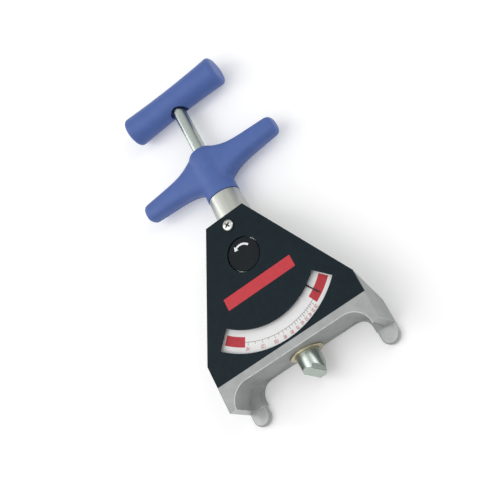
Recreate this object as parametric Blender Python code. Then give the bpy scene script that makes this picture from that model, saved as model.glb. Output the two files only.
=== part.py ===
"""Belt tension gauge: a hand tool that hooks a drive belt and shows how hard it pulls.

Two feet of a cast housing stand on the belt. Pushing the T handle towards the cross
handle drives a rod and its hook out between the feet; the hook takes the belt, and the
spring draws it back. A rack beside the rod turns a pinion under a pointer and a dial,
and a reset knob turns the pointer back by hand.

Local axes: X across the face, Y up the gauge from the plate's lower edge to the T handle,
Z up from the flat back that the gauge lies on. All sizes are in metres.
"""

import math

import bmesh
import bpy
from mathutils import Matrix, Vector

# Clearances and overruns
GAP = 0.0003  # between pieces that touch or slide
OVERRUN = 0.002  # how far a cutter passes a face
ROOT_LAP = 0.001  # how far a joined form reaches into its neighbour
MERGE = 1e-7
ROUND_SIDES = 40
SMALL_SIDES = 16
SHARP_ANGLE = math.radians(35)

# Face plate, which gives the housing its front outline
PLATE_HALF_WIDTH = 0.0600
PLATE_TOP_HALF = 0.0158
PLATE_TOP_Y = 0.0999
PLATE_SHOULDER_Y = 0.0161
PLATE_THICKNESS = 0.0015
FACE_Z = 0.0340
FACE_SCREW_Y = 0.0920
FACE_SCREW_RADIUS = 0.0040
FACE_SCREW_HEAD = 0.0018
FACE_SCREW_SHANK_RADIUS = 0.0017
FACE_SCREW_LENGTH = 0.0050
SLOT_WIDTH = 0.0009
SLOT_DEPTH_SHARE = 0.5
SLOT_LENGTH_SHARE = 1.3
SLOT_WIDTH_SHARE = 0.4  # the most of the head's radius that a slot takes
SCREW_CROWN_SHARE = 0.75
SCREW_RISE_SHARE = 0.9

# Dial, seen through an arc in the plate
PIVOT_Y = 0.0685
WINDOW_HALF_ANGLE = math.radians(44.3)
WINDOW_SIDE_MARGIN = 0.0132  # from the plate's upright side to the window's corner
WINDOW_BAND = 0.0157
WINDOW_OUTER = (PLATE_HALF_WIDTH - WINDOW_SIDE_MARGIN) / math.sin(WINDOW_HALF_ANGLE)
WINDOW_INNER = WINDOW_OUTER - WINDOW_BAND
WINDOW_STEPS = 36
LENS_LAP = 0.0011
LENS_THICKNESS = 0.0010
DIAL_LAP_INNER = 0.0048
DIAL_LAP_OUTER = 0.0012
DIAL_INNER = WINDOW_INNER - DIAL_LAP_INNER
DIAL_OUTER = WINDOW_OUTER + DIAL_LAP_OUTER
DIAL_HALF_ANGLE = math.radians(47.5)
DIAL_THICKNESS = 0.0010
DIAL_EAR_RADIUS = 0.0030
DIAL_EAR_STEPS = 8
DIAL_SCREW_INSET = 0.0035
DIAL_SCREW_RADIUS_AT = DIAL_INNER + DIAL_SCREW_INSET
DIAL_SCREW_ANGLE = math.radians(49.5)
DIAL_SCREW_RADIUS = 0.0019
DIAL_SCREW_HEAD = 0.0009
DIAL_SCREW_SHANK_RADIUS = 0.0009
DIAL_SCREW_LENGTH = 0.0025

# Pointer and reset knob
POINTER_ANGLE = math.radians(32.5)  # from straight down, towards +X
POINTER_TIP_MARGIN = 0.0058
POINTER_REACH = WINDOW_OUTER - POINTER_TIP_MARGIN
POINTER_TAIL = 0.0090
POINTER_HALF_ROOT = 0.0011
POINTER_HALF_TIP = 0.0004
POINTER_THICKNESS = 0.0004
POINTER_HUB_RADIUS = 0.0042
POINTER_HUB_HEIGHT = 0.0010
KNOB_HOLE_RADIUS = 0.0125
KNOB_RADIUS = 0.0119
KNOB_HEIGHT = 0.0016
KNOB_FLUTES = 24
KNOB_FLUTE_DEPTH = 0.0004
POINTER_SWING_UP = math.radians(11)
POINTER_SWING_DOWN = math.radians(74)
STOP_PIN_RADIUS = 0.0010
STOP_PIN_MARGIN = 0.0025
STOP_PIN_AT = DIAL_INNER - STOP_PIN_MARGIN
STOP_PIN_HEIGHT = 0.0022

# Plunger: T handle, rod and hook on one axis
AXIS_Z = 0.0130
ROD_RADIUS = 0.0050
ROD_LOW_Y = 0.0250
ROD_SINK = 0.0067  # how far the rod goes past the T handle's centre
HOOK_RADIUS = 0.0085
HOOK_TOP_Y = 0.0383
HOOK_TIP_Y = -0.0275
HOOK_ROOF_Y = -0.0183
HOOK_SEAT_X = 0.0010  # closed end of the belt seat, right of the axis
HOOK_LIP_TOP_Y = -0.0190  # lip's upper face at the axis
HOOK_LIP_THICKNESS = 0.0050
HOOK_SLOPE = math.tan(math.radians(30))
HOOK_BEVEL_RISE = 0.0039  # the front flat's upper edge, above the lip's underside
HOOK_BEVEL_START = 0.0003
HOOK_BEVEL_DEPTH = 0.0026
HOOK_NOSE_ANGLE = math.radians(22)
HOOK_CORNER_CUT = 0.0016
HOOK_SOCKET_FLOOR = 0.0006
HOOK_PIN_Y = 0.0300
HOOK_PIN_RADIUS = 0.0015
HOOK_PIN_LENGTH = 0.0160
T_CLEARANCE = 0.0458  # from the cross handle's crown to the T handle's centre
T_HALF_LENGTH = 0.0405
T_END_RADIUS = 0.0115
T_WAIST_RADIUS = 0.0106
T_END_ROUND = 0.0030
T_RECESS_RADIUS = 0.0072
T_RECESS_DEPTH = 0.0030
T_STATIONS = 8
T_ROUND_STEPS = 3

# Cross handle
CROSS_ARM_RISE = 0.0232  # these rises start at the hub's lower end
CROSS_HALF_SPAN = 0.0585
CROSS_TIP_HALF_Y = 0.0068
CROSS_TIP_HALF_Z = 0.0068
CROSS_ARM_GROWTH = 0.0030  # what the arm gains from tip to hub
CROSS_FLARE_Y = 0.0090  # what the blend into the hub adds, up and down
CROSS_FLARE_LENGTH = 0.0105
CROSS_TIP_ROUND = 0.0035
CROSS_TIP_SHARES = (0.4, 0.75, 0.95)
CROSS_SECTION_POWER = 2.5
CROSS_SECTION_POINTS = 20
CROSS_STATIONS = 20
CROSS_HUB_RADIUS = 0.0121
CROSS_HUB_WAIST = 0.0118
CROSS_SHOULDER_RISE = 0.0297
CROSS_HUB_LENGTH = 0.0412
CROSS_CROWN_RADIUS = 0.0060
CROSS_CROWN_STEPS = 6
CROSS_SPIGOT_RADIUS = 0.0090
CROSS_SPIGOT_LENGTH = 0.0197

# Neck
COLLAR_TOP_RADIUS = 0.0117
COLLAR_LOW_RADIUS = 0.0129
COLLAR_SEAT_GAP = 0.0004
COLLAR_LENGTH = 0.0220
NECK_THREAD_RADIUS = 0.0090
NECK_THREAD_LENGTH = 0.0065
NECK_BOSS_HALF = 0.0122
NECK_BOSS_DROP = 0.0004  # how far the thread stands out below its boss
NECK_BUSH_RADIUS = 0.0075
NECK_BUSH_RISE = 0.0037
NECK_BUSH_INSET = 0.0030

# Housing casting
WALL = 0.0035
BACK_THICKNESS = 0.0035
DRAFT_SHIFT_SHARE = 0.5895  # how far the sloping sides move down the gauge per depth
BACK_CHAMFER = 0.0030
CAVITY_FLOOR_Y = -0.0025
CAVITY_SIDE_MIN = 0.0020
APRON_ROOF = 0.0030
FRONT_ARCH_Y = -0.0060
REAR_ARCH_Y = -0.0052
LEG_BOTTOM_Y = -0.0195
LEG_WALL = 0.0054
LEG_REAR_DEPTH = 0.0060
LEG_REAR_WIDTH = 0.0138
FRONT_ARCH_ROUND = 0.0150
REAR_ARCH_ROUND = 0.0110
ARCH_STEPS = 10
POCKET_FILLET = 0.0050
TONGUE_HALF_WIDTH = 0.0067
TONGUE_TIP_Y = -0.0315
TONGUE_EDGE = 0.0012
TONGUE_ROOT_Y = -0.0120
TONGUE_BACK_Z = 0.0005
TONGUE_DEPTH = 0.0049
TONGUE_STEPS = 14
TONGUE_SIDE_GAP = 0.0002
HOOK_BOSS_RADIUS = 0.0150
HOOK_BOSS_LOW_Y = -0.0063
HOOK_BOSS_TOP_Y = 0.0120
HOOK_BOSS_CHAMFER = 0.0015
HOOK_BOSS_FLOOR_Z = 0.0004
BOSS_STEPS = 44
BUSH_FLANGE_RADIUS = 0.0120
BUSH_FLANGE_THICKNESS = 0.0020
BUSH_FLANGE_SEAT = 0.0010
BUSH_RADIUS = 0.0104
SPRING_WALL_Y = 0.0400
SPRING_WALL_THICKNESS = 0.0040
SPRING_WALL_HALF = 0.0135
SPRING_WALL_TOP_Z = 0.0203
POST_RADIUS = 0.0042
POSTS = ((-0.0200, 0.0620), (0.0200, 0.0620), (-0.0260, 0.0340), (0.0260, 0.0340))
LUG_HALF_WIDTH = 0.0050
LUG_LOW_Y = 0.0870
LUG_LOW_Z = 0.0263
LUG_DROP = 0.0002

# Movement: plate, bearing, pinion and rack
MOVEMENT_Z = 0.0269
MOVEMENT_THICKNESS = 0.0020
MOVEMENT_TOP_Y = 0.0840
MOVEMENT_LOW_Y = 0.0020
MOVEMENT_MARGIN = 0.0008
NOTCH_MARGIN = 0.0015
MOVEMENT_SCREW_RADIUS = 0.0024
MOVEMENT_SCREW_HEAD = 0.0010
MOVEMENT_SCREW_SHANK_RADIUS = 0.0011
MOVEMENT_SCREW_LENGTH = 0.0070
BEARING_FLANGE_RADIUS = 0.0050
BEARING_FLANGE_THICKNESS = 0.0010
BEARING_RADIUS = 0.0035
SHAFT_RADIUS = 0.0015
SHAFT_FOOT = 0.0003
CLIP_RADIUS = 0.0032
CLIP_THICKNESS = 0.0004
CLUTCH_RADIUS = 0.0042
CLUTCH_THICKNESS = 0.0003
GEAR_MODULE = 0.00075
PINION_TEETH = 16
PRESSURE_ANGLE = math.radians(20)
BACKLASH = 0.00012
DEDENDUM_SHARE = 1.25
ADDENDUM_SHARE = 0.92
FLANK_STEPS = 4
PINION_Z = 0.0210
PINION_THICKNESS = 0.0040
RACK_LOW_Y = 0.0620
RACK_TOP_Y = 0.0932
RACK_BACK_X = 0.0105
RACK_SCREW_X = 0.0088
RACK_SCREW_RADIUS = 0.0016
RACK_SCREW_HEAD = 0.0009
RACK_SCREW_SHANK_RADIUS = 0.0009
RACK_SCREW_LENGTH = 0.0075
CARRIER_LOW_Y = 0.0820
CARRIER_THICKNESS = 0.0060
CARRIER_RADIUS = 0.0074
CARRIER_ARM_LOW_X = 0.0030
THRUST_RADIUS = 0.0072
THRUST_THICKNESS = 0.0010
ROD_CLIP_RADIUS = 0.0070
ROD_CLIP_THICKNESS = 0.0010
GUIDE_THICKNESS = 0.0030
GUIDE_LENGTH = 0.0150
GUIDE_LOW_Z = 0.0206
SEAT_RADIUS = 0.0078
SEAT_THICKNESS = 0.0010
STOP_WASHER_RADIUS = 0.0082

# Main spring
WIRE_RADIUS = 0.0008
SPRING_MEAN_RADIUS = 0.0062
SPRING_TURNS = 7
SPRING_END_TURNS = 1
SPRING_POINTS_PER_TURN = 10
SPRING_CLOSED_GAP = 0.0005
WIRE_RESOLUTION = 1

# Colours as linear RGB, then metallic and roughness
FINISHES = {
    "cast_aluminium": ((0.35, 0.36, 0.36), 0.85, 0.42),
    "black_plate": ((0.012, 0.020, 0.024), 0.10, 0.38),
    "dial_white": ((0.80, 0.80, 0.78), 0.00, 0.45),
    "clear_lens": ((0.85, 0.90, 0.92), 0.00, 0.05),
    "pointer_black": ((0.015, 0.015, 0.015), 0.20, 0.40),
    "knob_black": ((0.015, 0.022, 0.026), 0.00, 0.35),
    "blue_plastic": ((0.085, 0.150, 0.420), 0.00, 0.42),
    "bright_steel": ((0.62, 0.63, 0.60), 1.00, 0.22),
    "zinc_steel": ((0.50, 0.53, 0.47), 1.00, 0.25),
    "brass": ((0.60, 0.50, 0.28), 1.00, 0.30),
    "bronze": ((0.42, 0.30, 0.16), 1.00, 0.40),
    "spring_steel": ((0.30, 0.30, 0.32), 1.00, 0.35),
    "fibre": ((0.30, 0.12, 0.06), 0.00, 0.70),
}

# Derived places
PLATE_SLOPE = (PLATE_HALF_WIDTH - PLATE_TOP_HALF) / (PLATE_TOP_Y - PLATE_SHOULDER_Y)
SLOPE_STRETCH = math.hypot(1, PLATE_SLOPE)
PLATE_BACK_Z = FACE_Z - PLATE_THICKNESS
RIM_Z = PLATE_BACK_Z - GAP
CAVITY_TOP_Z = FACE_Z - APRON_ROOF
CAVITY_TOP_Y = PLATE_TOP_Y - WALL
COLLAR_LOW_Y = PLATE_TOP_Y + COLLAR_SEAT_GAP
NECK_THREAD_LOW_Y = COLLAR_LOW_Y - NECK_THREAD_LENGTH
NECK_BOSS_LOW_Y = NECK_THREAD_LOW_Y + NECK_BOSS_DROP
CROSS_HUB_LOW_Y = COLLAR_LOW_Y + COLLAR_LENGTH
CROSS_ARM_Y = CROSS_HUB_LOW_Y + CROSS_ARM_RISE
CROSS_HUB_SHOULDER_Y = CROSS_HUB_LOW_Y + CROSS_SHOULDER_RISE
CROSS_HUB_TOP_Y = CROSS_HUB_LOW_Y + CROSS_HUB_LENGTH
CROSS_SPIGOT_TOP_Y = CROSS_HUB_LOW_Y + CROSS_SPIGOT_LENGTH
NECK_BUSH_LOW_Y = COLLAR_LOW_Y + NECK_BUSH_RISE
NECK_BUSH_TOP_Y = CROSS_SPIGOT_TOP_Y - NECK_BUSH_INSET
T_CENTRE_Y = CROSS_HUB_TOP_Y + T_CLEARANCE
T_TOP_Y = T_CENTRE_Y + T_END_RADIUS
ROD_TOP_Y = T_CENTRE_Y + ROD_SINK
LEG_INNER_X = PLATE_HALF_WIDTH - LEG_REAR_WIDTH
MIDDLE_Y = (T_TOP_Y + TONGUE_TIP_Y) / 2
PITCH_RADIUS = GEAR_MODULE * PINION_TEETH / 2
MOVEMENT_TOP_Z = MOVEMENT_Z + MOVEMENT_THICKNESS
DIAL_Z = MOVEMENT_TOP_Z + GAP
POINTER_Z = DIAL_Z + DIAL_THICKNESS + GAP
LENS_Z = PLATE_BACK_Z - GAP - LENS_THICKNESS
KNOB_Z = POINTER_Z + POINTER_HUB_HEIGHT + GAP
CARRIER_TOP_Y = CARRIER_LOW_Y + CARRIER_THICKNESS


def finish(name):
    """One Principled material per finish, shared by the pieces that have it."""
    found = bpy.data.materials.get(name)
    if found:
        return found
    colour, metallic, roughness = FINISHES[name]
    material = bpy.data.materials.new(name)
    material.use_nodes = True
    shader = material.node_tree.nodes["Principled BSDF"]
    shader.inputs["Base Color"].default_value = (*colour, 1)
    shader.inputs["Metallic"].default_value = metallic
    shader.inputs["Roughness"].default_value = roughness
    material.diffuse_color = (*colour, 1)
    return material


def axis_empty(name, location, parent=None):
    """An empty that holds a moving group on its axis."""
    empty = bpy.data.objects.new(name, None)
    bpy.context.collection.objects.link(empty)
    empty.location = location
    empty.parent = parent
    return empty


def piece(name, bm, material, parent, smooth=True):
    """Makes the named object from a bmesh, with its faces pointing out."""
    bmesh.ops.remove_doubles(bm, verts=bm.verts, dist=MERGE)
    bmesh.ops.recalc_face_normals(bm, faces=bm.faces)
    mesh = bpy.data.meshes.new(name)
    bm.to_mesh(mesh)
    bm.free()
    if smooth:
        mesh.shade_smooth()
        mesh.set_sharp_from_angle(angle=SHARP_ANGLE)
    obj = bpy.data.objects.new(name, mesh)
    bpy.context.collection.objects.link(obj)
    obj.parent = parent
    if material:
        mesh.materials.append(finish(material))
    return obj


def combine(obj, operation, bm, label):
    """A Boolean with a hidden tool, which shares the object's parent and axes."""
    tool = piece(f"{obj.name}_{label}", bm, None, obj.parent, smooth=False)
    tool.hide_render = True
    tool.display_type = "WIRE"
    modifier = obj.modifiers.new(label, "BOOLEAN")
    modifier.operation = operation
    modifier.solver = "EXACT"
    modifier.object = tool
    return tool


def cut(obj, bm, label):
    return combine(obj, "DIFFERENCE", bm, label)


def join(obj, bm, label):
    return combine(obj, "UNION", bm, label)


def loft(rings):
    """Skins closed rings of equally many points, and caps both ends."""
    bm = bmesh.new()
    loops = [[bm.verts.new(point) for point in ring] for ring in rings]
    count = len(loops[0])
    for low, high in zip(loops, loops[1:]):
        for i in range(count):
            j = (i + 1) % count
            bm.faces.new((low[i], low[j], high[j], high[i]))
    bm.faces.new(reversed(loops[0]))
    bm.faces.new(loops[-1])
    return bm


def prism(outline, low_z, high_z):
    """Extrudes an outline of (x, y) points between two heights."""
    bm = bmesh.new()
    face = bm.faces.new([bm.verts.new((x, y, low_z)) for x, y in outline])
    grown = bmesh.ops.extrude_face_region(bm, geom=[face])
    raised = [part for part in grown["geom"] if isinstance(part, bmesh.types.BMVert)]
    bmesh.ops.translate(bm, verts=raised, vec=Vector((0, 0, high_z - low_z)))
    return bm


def block(low, high):
    """A box between two corners."""
    outline = ((low[0], low[1]), (high[0], low[1]), (high[0], high[1]), (low[0], high[1]))
    return prism(outline, low[2], high[2])


def turned(profile, sides=ROUND_SIDES, bored=False):
    """Spins (radius, height) points about local Z. A bored profile is a closed loop."""
    bm = bmesh.new()
    verts = [bm.verts.new((radius, 0, height)) for radius, height in profile]
    edges = [bm.edges.new(pair) for pair in zip(verts, verts[1:])]
    if bored:
        edges.append(bm.edges.new((verts[-1], verts[0])))
    bmesh.ops.spin(
        bm,
        geom=verts + edges,
        cent=(0, 0, 0),
        axis=(0, 0, 1),
        angle=math.tau,
        steps=sides,
        use_merge=True,
    )
    bmesh.ops.remove_doubles(bm, verts=bm.verts, dist=MERGE)
    return bm


def along_y(bm, centre_z=0.0):
    """Lays a shape that was turned about Z along Y, so that its height becomes y."""
    bmesh.ops.transform(bm, matrix=Matrix.Rotation(math.radians(-90), 4, "X"), verts=bm.verts)
    bmesh.ops.translate(bm, verts=bm.verts, vec=Vector((0, 0, centre_z)))
    return bm


def rod_y(radius, low, high, sides=ROUND_SIDES):
    """A plain round bar on the plunger axis."""
    return along_y(turned(((0, low), (radius, low), (radius, high), (0, high)), sides))


def ring_profile(inner, outer, low, high):
    return ((inner, low), (outer, low), (outer, high), (inner, high))


def moved(bm, x, y, z=0.0):
    bmesh.ops.translate(bm, verts=bm.verts, vec=Vector((x, y, z)))
    return bm


def arc_points(centre, radius, start, end, steps):
    """Points on an arc; angles run from +X towards +Y."""
    points = []
    for i in range(steps + 1):
        angle = start + (end - start) * i / steps
        points.append((centre[0] + radius * math.cos(angle), centre[1] + radius * math.sin(angle)))
    return points


def dial_sector(inner, outer, half_angle):
    """An arc band about the pivot, centred straight down."""
    down = -math.pi / 2
    outer_arc = arc_points((0, PIVOT_Y), outer, down - half_angle, down + half_angle, WINDOW_STEPS)
    inner_arc = arc_points((0, PIVOT_Y), inner, down + half_angle, down - half_angle, WINDOW_STEPS)
    return outer_arc + inner_arc


def shoulder_y(z):
    """Where the sloping side meets the upright side, lower down towards the back."""
    return PLATE_SHOULDER_Y - (FACE_Z - z) * DRAFT_SHIFT_SHARE


def slope_x(y, z, inset=0.0):
    """Half width at the sloping side."""
    return PLATE_HALF_WIDTH - (y - shoulder_y(z)) * PLATE_SLOPE - inset * SLOPE_STRETCH


def body_ring(z, inset=0.0):
    """The casting's outline at one depth, with both legs still filled in."""
    side = PLATE_HALF_WIDTH - inset
    top = PLATE_TOP_Y - inset
    low = LEG_BOTTOM_Y
    corner_y = shoulder_y(z) + (PLATE_HALF_WIDTH - inset * SLOPE_STRETCH - side) / PLATE_SLOPE
    half = ((side, low), (side, corner_y), (slope_x(top, z, inset), top))
    mirrored = [(-x, y) for x, y in reversed(half)]
    return [Vector((x, y, z)) for x, y in (*half, *mirrored)]


def cavity_ring(z, floor_y, level_z):
    """The hollow's outline, a wall inside the casting."""
    side_y = floor_y + CAVITY_SIDE_MIN
    side = min(PLATE_HALF_WIDTH - WALL, slope_x(side_y, level_z, WALL))
    reach = PLATE_HALF_WIDTH - WALL * SLOPE_STRETCH - side
    corner_y = max(side_y, shoulder_y(level_z) + reach / PLATE_SLOPE)
    half = ((side, floor_y), (side, corner_y), (slope_x(CAVITY_TOP_Y, level_z, WALL), CAVITY_TOP_Y))
    mirrored = [(-x, y) for x, y in reversed(half)]
    return [Vector((x, y, z)) for x, y in (*half, *mirrored)]


def arch_outline(inner_x, top_y, round_radius):
    """The open space between the legs, rounded where it meets them."""
    low = LEG_BOTTOM_Y - OVERRUN
    centre = (inner_x - round_radius, top_y - round_radius)
    right = arc_points(centre, round_radius, math.pi / 2, 0, ARCH_STEPS)
    points = [*right, (inner_x, low)]
    return points + [(-x, y) for x, y in reversed(points)]


def tongue_ring(side, inset, z):
    """A round-ended finger that carries on from the rear wall of one leg."""
    centre_x = side * (PLATE_HALF_WIDTH - TONGUE_SIDE_GAP - TONGUE_HALF_WIDTH)
    half = TONGUE_HALF_WIDTH - inset
    centre = (centre_x, TONGUE_TIP_Y + TONGUE_HALF_WIDTH)
    tip = arc_points(centre, half, -math.pi, 0, TONGUE_STEPS)
    outline = [*tip, (centre_x + half, TONGUE_ROOT_Y), (centre_x - half, TONGUE_ROOT_Y)]
    return [Vector((x, y, z)) for x, y in outline]


def tongue_body(side):
    """The tongue with its edges eased front and back."""
    front = TONGUE_BACK_Z + TONGUE_DEPTH
    levels = (
        (TONGUE_EDGE, TONGUE_BACK_Z),
        (0, TONGUE_BACK_Z + TONGUE_EDGE),
        (0, front - TONGUE_EDGE),
        (TONGUE_EDGE, front),
    )
    return loft([tongue_ring(side, inset, z) for inset, z in levels])


def pocket_cutter():
    """Clears the legs' front pockets down to the rear wall, with a fillet at its foot."""
    wide = arch_outline(PLATE_HALF_WIDTH - LEG_WALL, FRONT_ARCH_Y, FRONT_ARCH_ROUND)
    narrow_x = PLATE_HALF_WIDTH - LEG_WALL - POCKET_FILLET
    narrow = arch_outline(narrow_x, FRONT_ARCH_Y, FRONT_ARCH_ROUND)
    mid_x = PLATE_HALF_WIDTH - LEG_WALL - POCKET_FILLET * (1 - math.sin(math.pi / 4))
    mid = arch_outline(mid_x, FRONT_ARCH_Y, FRONT_ARCH_ROUND)
    mid_z = LEG_REAR_DEPTH + POCKET_FILLET * (1 - math.cos(math.pi / 4))
    levels = (
        (narrow, LEG_REAR_DEPTH),
        (mid, mid_z),
        (wide, LEG_REAR_DEPTH + POCKET_FILLET),
        (wide, FACE_Z + OVERRUN),
    )
    return loft([[Vector((x, y, z)) for x, y in points] for points, z in levels])


def boss_ring(radius, y, floor_z):
    """A circle about the plunger axis, cut off level at the back."""
    drop = math.acos((AXIS_Z - floor_z) / radius)
    arc = arc_points((0, AXIS_Z), radius, -math.pi / 2 + drop, math.pi * 1.5 - drop, BOSS_STEPS)
    return [Vector((x, y, z)) for x, z in arc]


def hook_boss():
    """The round swelling that holds the lower bush, flat against the back."""
    chamfered = HOOK_BOSS_RADIUS - HOOK_BOSS_CHAMFER
    levels = (
        (chamfered, HOOK_BOSS_LOW_Y, HOOK_BOSS_FLOOR_Z + HOOK_BOSS_CHAMFER),
        (HOOK_BOSS_RADIUS, HOOK_BOSS_LOW_Y + HOOK_BOSS_CHAMFER, HOOK_BOSS_FLOOR_Z),
        (HOOK_BOSS_RADIUS, HOOK_BOSS_TOP_Y, HOOK_BOSS_FLOOR_Z),
    )
    return loft([boss_ring(*level) for level in levels])


def make_housing(frame):
    """The cast body: drafted shell, two L-shaped legs with tongues, bosses and posts."""
    rings = (
        body_ring(0, BACK_CHAMFER),
        body_ring(BACK_CHAMFER),
        body_ring(FACE_Z),
    )
    housing = piece("housing", loft(rings), "cast_aluminium", frame)
    deep = [cavity_ring(z, CAVITY_FLOOR_Y, z) for z in (BACK_THICKNESS, CAVITY_TOP_Z)]
    cut(housing, loft(deep), "hollow")
    open_floor = GAP
    levels = (CAVITY_TOP_Z - ROOT_LAP, FACE_Z + OVERRUN)
    cut(housing, loft([cavity_ring(z, open_floor, CAVITY_TOP_Z) for z in levels]), "mouth")
    seat_low = (-PLATE_HALF_WIDTH - OVERRUN, -GAP, RIM_Z)
    seat_high = (PLATE_HALF_WIDTH + OVERRUN, PLATE_TOP_Y + OVERRUN, FACE_Z + OVERRUN)
    cut(housing, block(seat_low, seat_high), "plate_seat")
    cut(housing, pocket_cutter(), "pockets")
    arch = arch_outline(LEG_INNER_X, REAR_ARCH_Y, REAR_ARCH_ROUND)
    cut(housing, prism(arch, -OVERRUN, LEG_REAR_DEPTH + OVERRUN), "arch")
    for side, label in ((-1, "left"), (1, "right")):
        join(housing, tongue_body(side), f"tongue_{label}")
    join(housing, hook_boss(), "hook_boss")
    neck_low = (-NECK_BOSS_HALF, NECK_BOSS_LOW_Y, BACK_THICKNESS - ROOT_LAP)
    neck_high = (NECK_BOSS_HALF, CAVITY_TOP_Y + ROOT_LAP, AXIS_Z + NECK_BOSS_HALF)
    join(housing, block(neck_low, neck_high), "neck_boss")
    wall_low = (-SPRING_WALL_HALF, SPRING_WALL_Y, BACK_THICKNESS - ROOT_LAP)
    wall_high = (SPRING_WALL_HALF, SPRING_WALL_Y + SPRING_WALL_THICKNESS, SPRING_WALL_TOP_Z)
    join(housing, block(wall_low, wall_high), "spring_wall")
    for number, (x, y) in enumerate(POSTS, 1):
        join(housing, moved(bored_post(), x, y), f"post_{number}")
    lug_low = (-LUG_HALF_WIDTH, LUG_LOW_Y, LUG_LOW_Z)
    lug_high = (LUG_HALF_WIDTH, CAVITY_TOP_Y + ROOT_LAP, RIM_Z - LUG_DROP)
    join(housing, block(lug_low, lug_high), "lug")
    cut_housing_bores(housing)
    return housing


def bored_post():
    """A post with a blind hole for its screw."""
    low = BACK_THICKNESS - ROOT_LAP
    high = MOVEMENT_Z - GAP
    hole = MOVEMENT_SCREW_SHANK_RADIUS + GAP
    hole_low = MOVEMENT_TOP_Z - MOVEMENT_SCREW_LENGTH - GAP
    outside = ((0, low), (POST_RADIUS, low), (POST_RADIUS, high))
    profile = (*outside, (hole, high), (hole, hole_low), (0, hole_low))
    return turned(profile, SMALL_SIDES)


def cut_housing_bores(housing):
    """Holes for the bushes, the neck, the rod and the plate's screw."""
    seat_y = HOOK_BOSS_LOW_Y + BUSH_FLANGE_SEAT
    stepped = (
        (0, HOOK_BOSS_LOW_Y - OVERRUN),
        (BUSH_FLANGE_RADIUS + GAP, HOOK_BOSS_LOW_Y - OVERRUN),
        (BUSH_FLANGE_RADIUS + GAP, seat_y),
        (BUSH_RADIUS + GAP, seat_y),
        (BUSH_RADIUS + GAP, HOOK_BOSS_TOP_Y + OVERRUN),
        (0, HOOK_BOSS_TOP_Y + OVERRUN),
    )
    cut(housing, along_y(turned(stepped), AXIS_Z), "bush_bore")
    neck_bore = rod_y(NECK_THREAD_RADIUS + GAP, NECK_BOSS_LOW_Y - OVERRUN, PLATE_TOP_Y + OVERRUN)
    cut(housing, moved(neck_bore, 0, 0, AXIS_Z), "neck_bore")
    wall_top = SPRING_WALL_Y + SPRING_WALL_THICKNESS
    rod_bore = rod_y(ROD_RADIUS + GAP, SPRING_WALL_Y - OVERRUN, wall_top + OVERRUN)
    cut(housing, moved(rod_bore, 0, 0, AXIS_Z), "rod_bore")
    lug_hole = screw_hole(FACE_SCREW_SHANK_RADIUS, RIM_Z - FACE_SCREW_LENGTH - GAP, RIM_Z + OVERRUN)
    cut(housing, moved(lug_hole, 0, FACE_SCREW_Y), "lug_hole")


def screw_hole(shank_radius, low, high):
    """A round cutter with running clearance about a screw's shank."""
    radius = shank_radius + GAP
    return turned(((0, low), (radius, low), (radius, high), (0, high)), SMALL_SIDES)


def make_screw(name, place, head, shank, material, parent, crossed=True):
    """A pan screw that stands on seat_z with its shank below; sizes are (radius, length)."""
    x, y, seat_z = place
    head_radius, head_height = head
    shank_radius, shank_length = shank
    crown = head_height / 2
    profile = (
        (0, seat_z - shank_length),
        (shank_radius, seat_z - shank_length),
        (shank_radius, seat_z),
        (head_radius, seat_z),
        (head_radius, seat_z + crown),
        (head_radius * SCREW_CROWN_SHARE, seat_z + head_height * SCREW_RISE_SHARE),
        (0, seat_z + head_height),
    )
    screw = piece(name, moved(turned(profile, SMALL_SIDES), x, y), material, parent)
    reach = head_radius * SLOT_LENGTH_SHARE / 2
    depth = head_height * SLOT_DEPTH_SHARE
    width = min(SLOT_WIDTH, head_radius * SLOT_WIDTH_SHARE) / 2
    slots = ((reach, width), (width, reach)) if crossed else ((head_radius + OVERRUN, width),)
    for number, (half_x, half_y) in enumerate(slots, 1):
        low = (x - half_x, y - half_y, seat_z + head_height - depth)
        high = (x + half_x, y + half_y, seat_z + head_height + OVERRUN)
        cut(screw, block(low, high), f"slot_{number}")
    return screw


def make_face(frame):
    """The black front plate with its arc window, its lens and its one screw."""
    outline = (
        (PLATE_HALF_WIDTH, 0),
        (PLATE_HALF_WIDTH, PLATE_SHOULDER_Y),
        (PLATE_TOP_HALF, PLATE_TOP_Y),
        (-PLATE_TOP_HALF, PLATE_TOP_Y),
        (-PLATE_HALF_WIDTH, PLATE_SHOULDER_Y),
        (-PLATE_HALF_WIDTH, 0),
    )
    plate = piece("face_plate", prism(outline, PLATE_BACK_Z, FACE_Z), "black_plate", frame)
    low, high = PLATE_BACK_Z - OVERRUN, FACE_Z + OVERRUN
    window = dial_sector(WINDOW_INNER, WINDOW_OUTER, WINDOW_HALF_ANGLE)
    cut(plate, prism(window, low, high), "window")
    knob_hole = turned(((0, low), (KNOB_HOLE_RADIUS, low), (KNOB_HOLE_RADIUS, high), (0, high)))
    cut(plate, moved(knob_hole, 0, PIVOT_Y), "knob_hole")
    screw_cut = screw_hole(FACE_SCREW_SHANK_RADIUS, low, high)
    cut(plate, moved(screw_cut, 0, FACE_SCREW_Y), "screw_hole")
    make_screw(
        "face_screw",
        (0, FACE_SCREW_Y, FACE_Z + GAP),
        (FACE_SCREW_RADIUS, FACE_SCREW_HEAD),
        (FACE_SCREW_SHANK_RADIUS, FACE_SCREW_LENGTH),
        "bright_steel",
        frame,
    )
    lens = dial_sector(
        WINDOW_INNER - LENS_LAP,
        WINDOW_OUTER + LENS_LAP,
        WINDOW_HALF_ANGLE + LENS_LAP / WINDOW_INNER,
    )
    piece("dial_window", prism(lens, LENS_Z, LENS_Z + LENS_THICKNESS), "clear_lens", frame)


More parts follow.
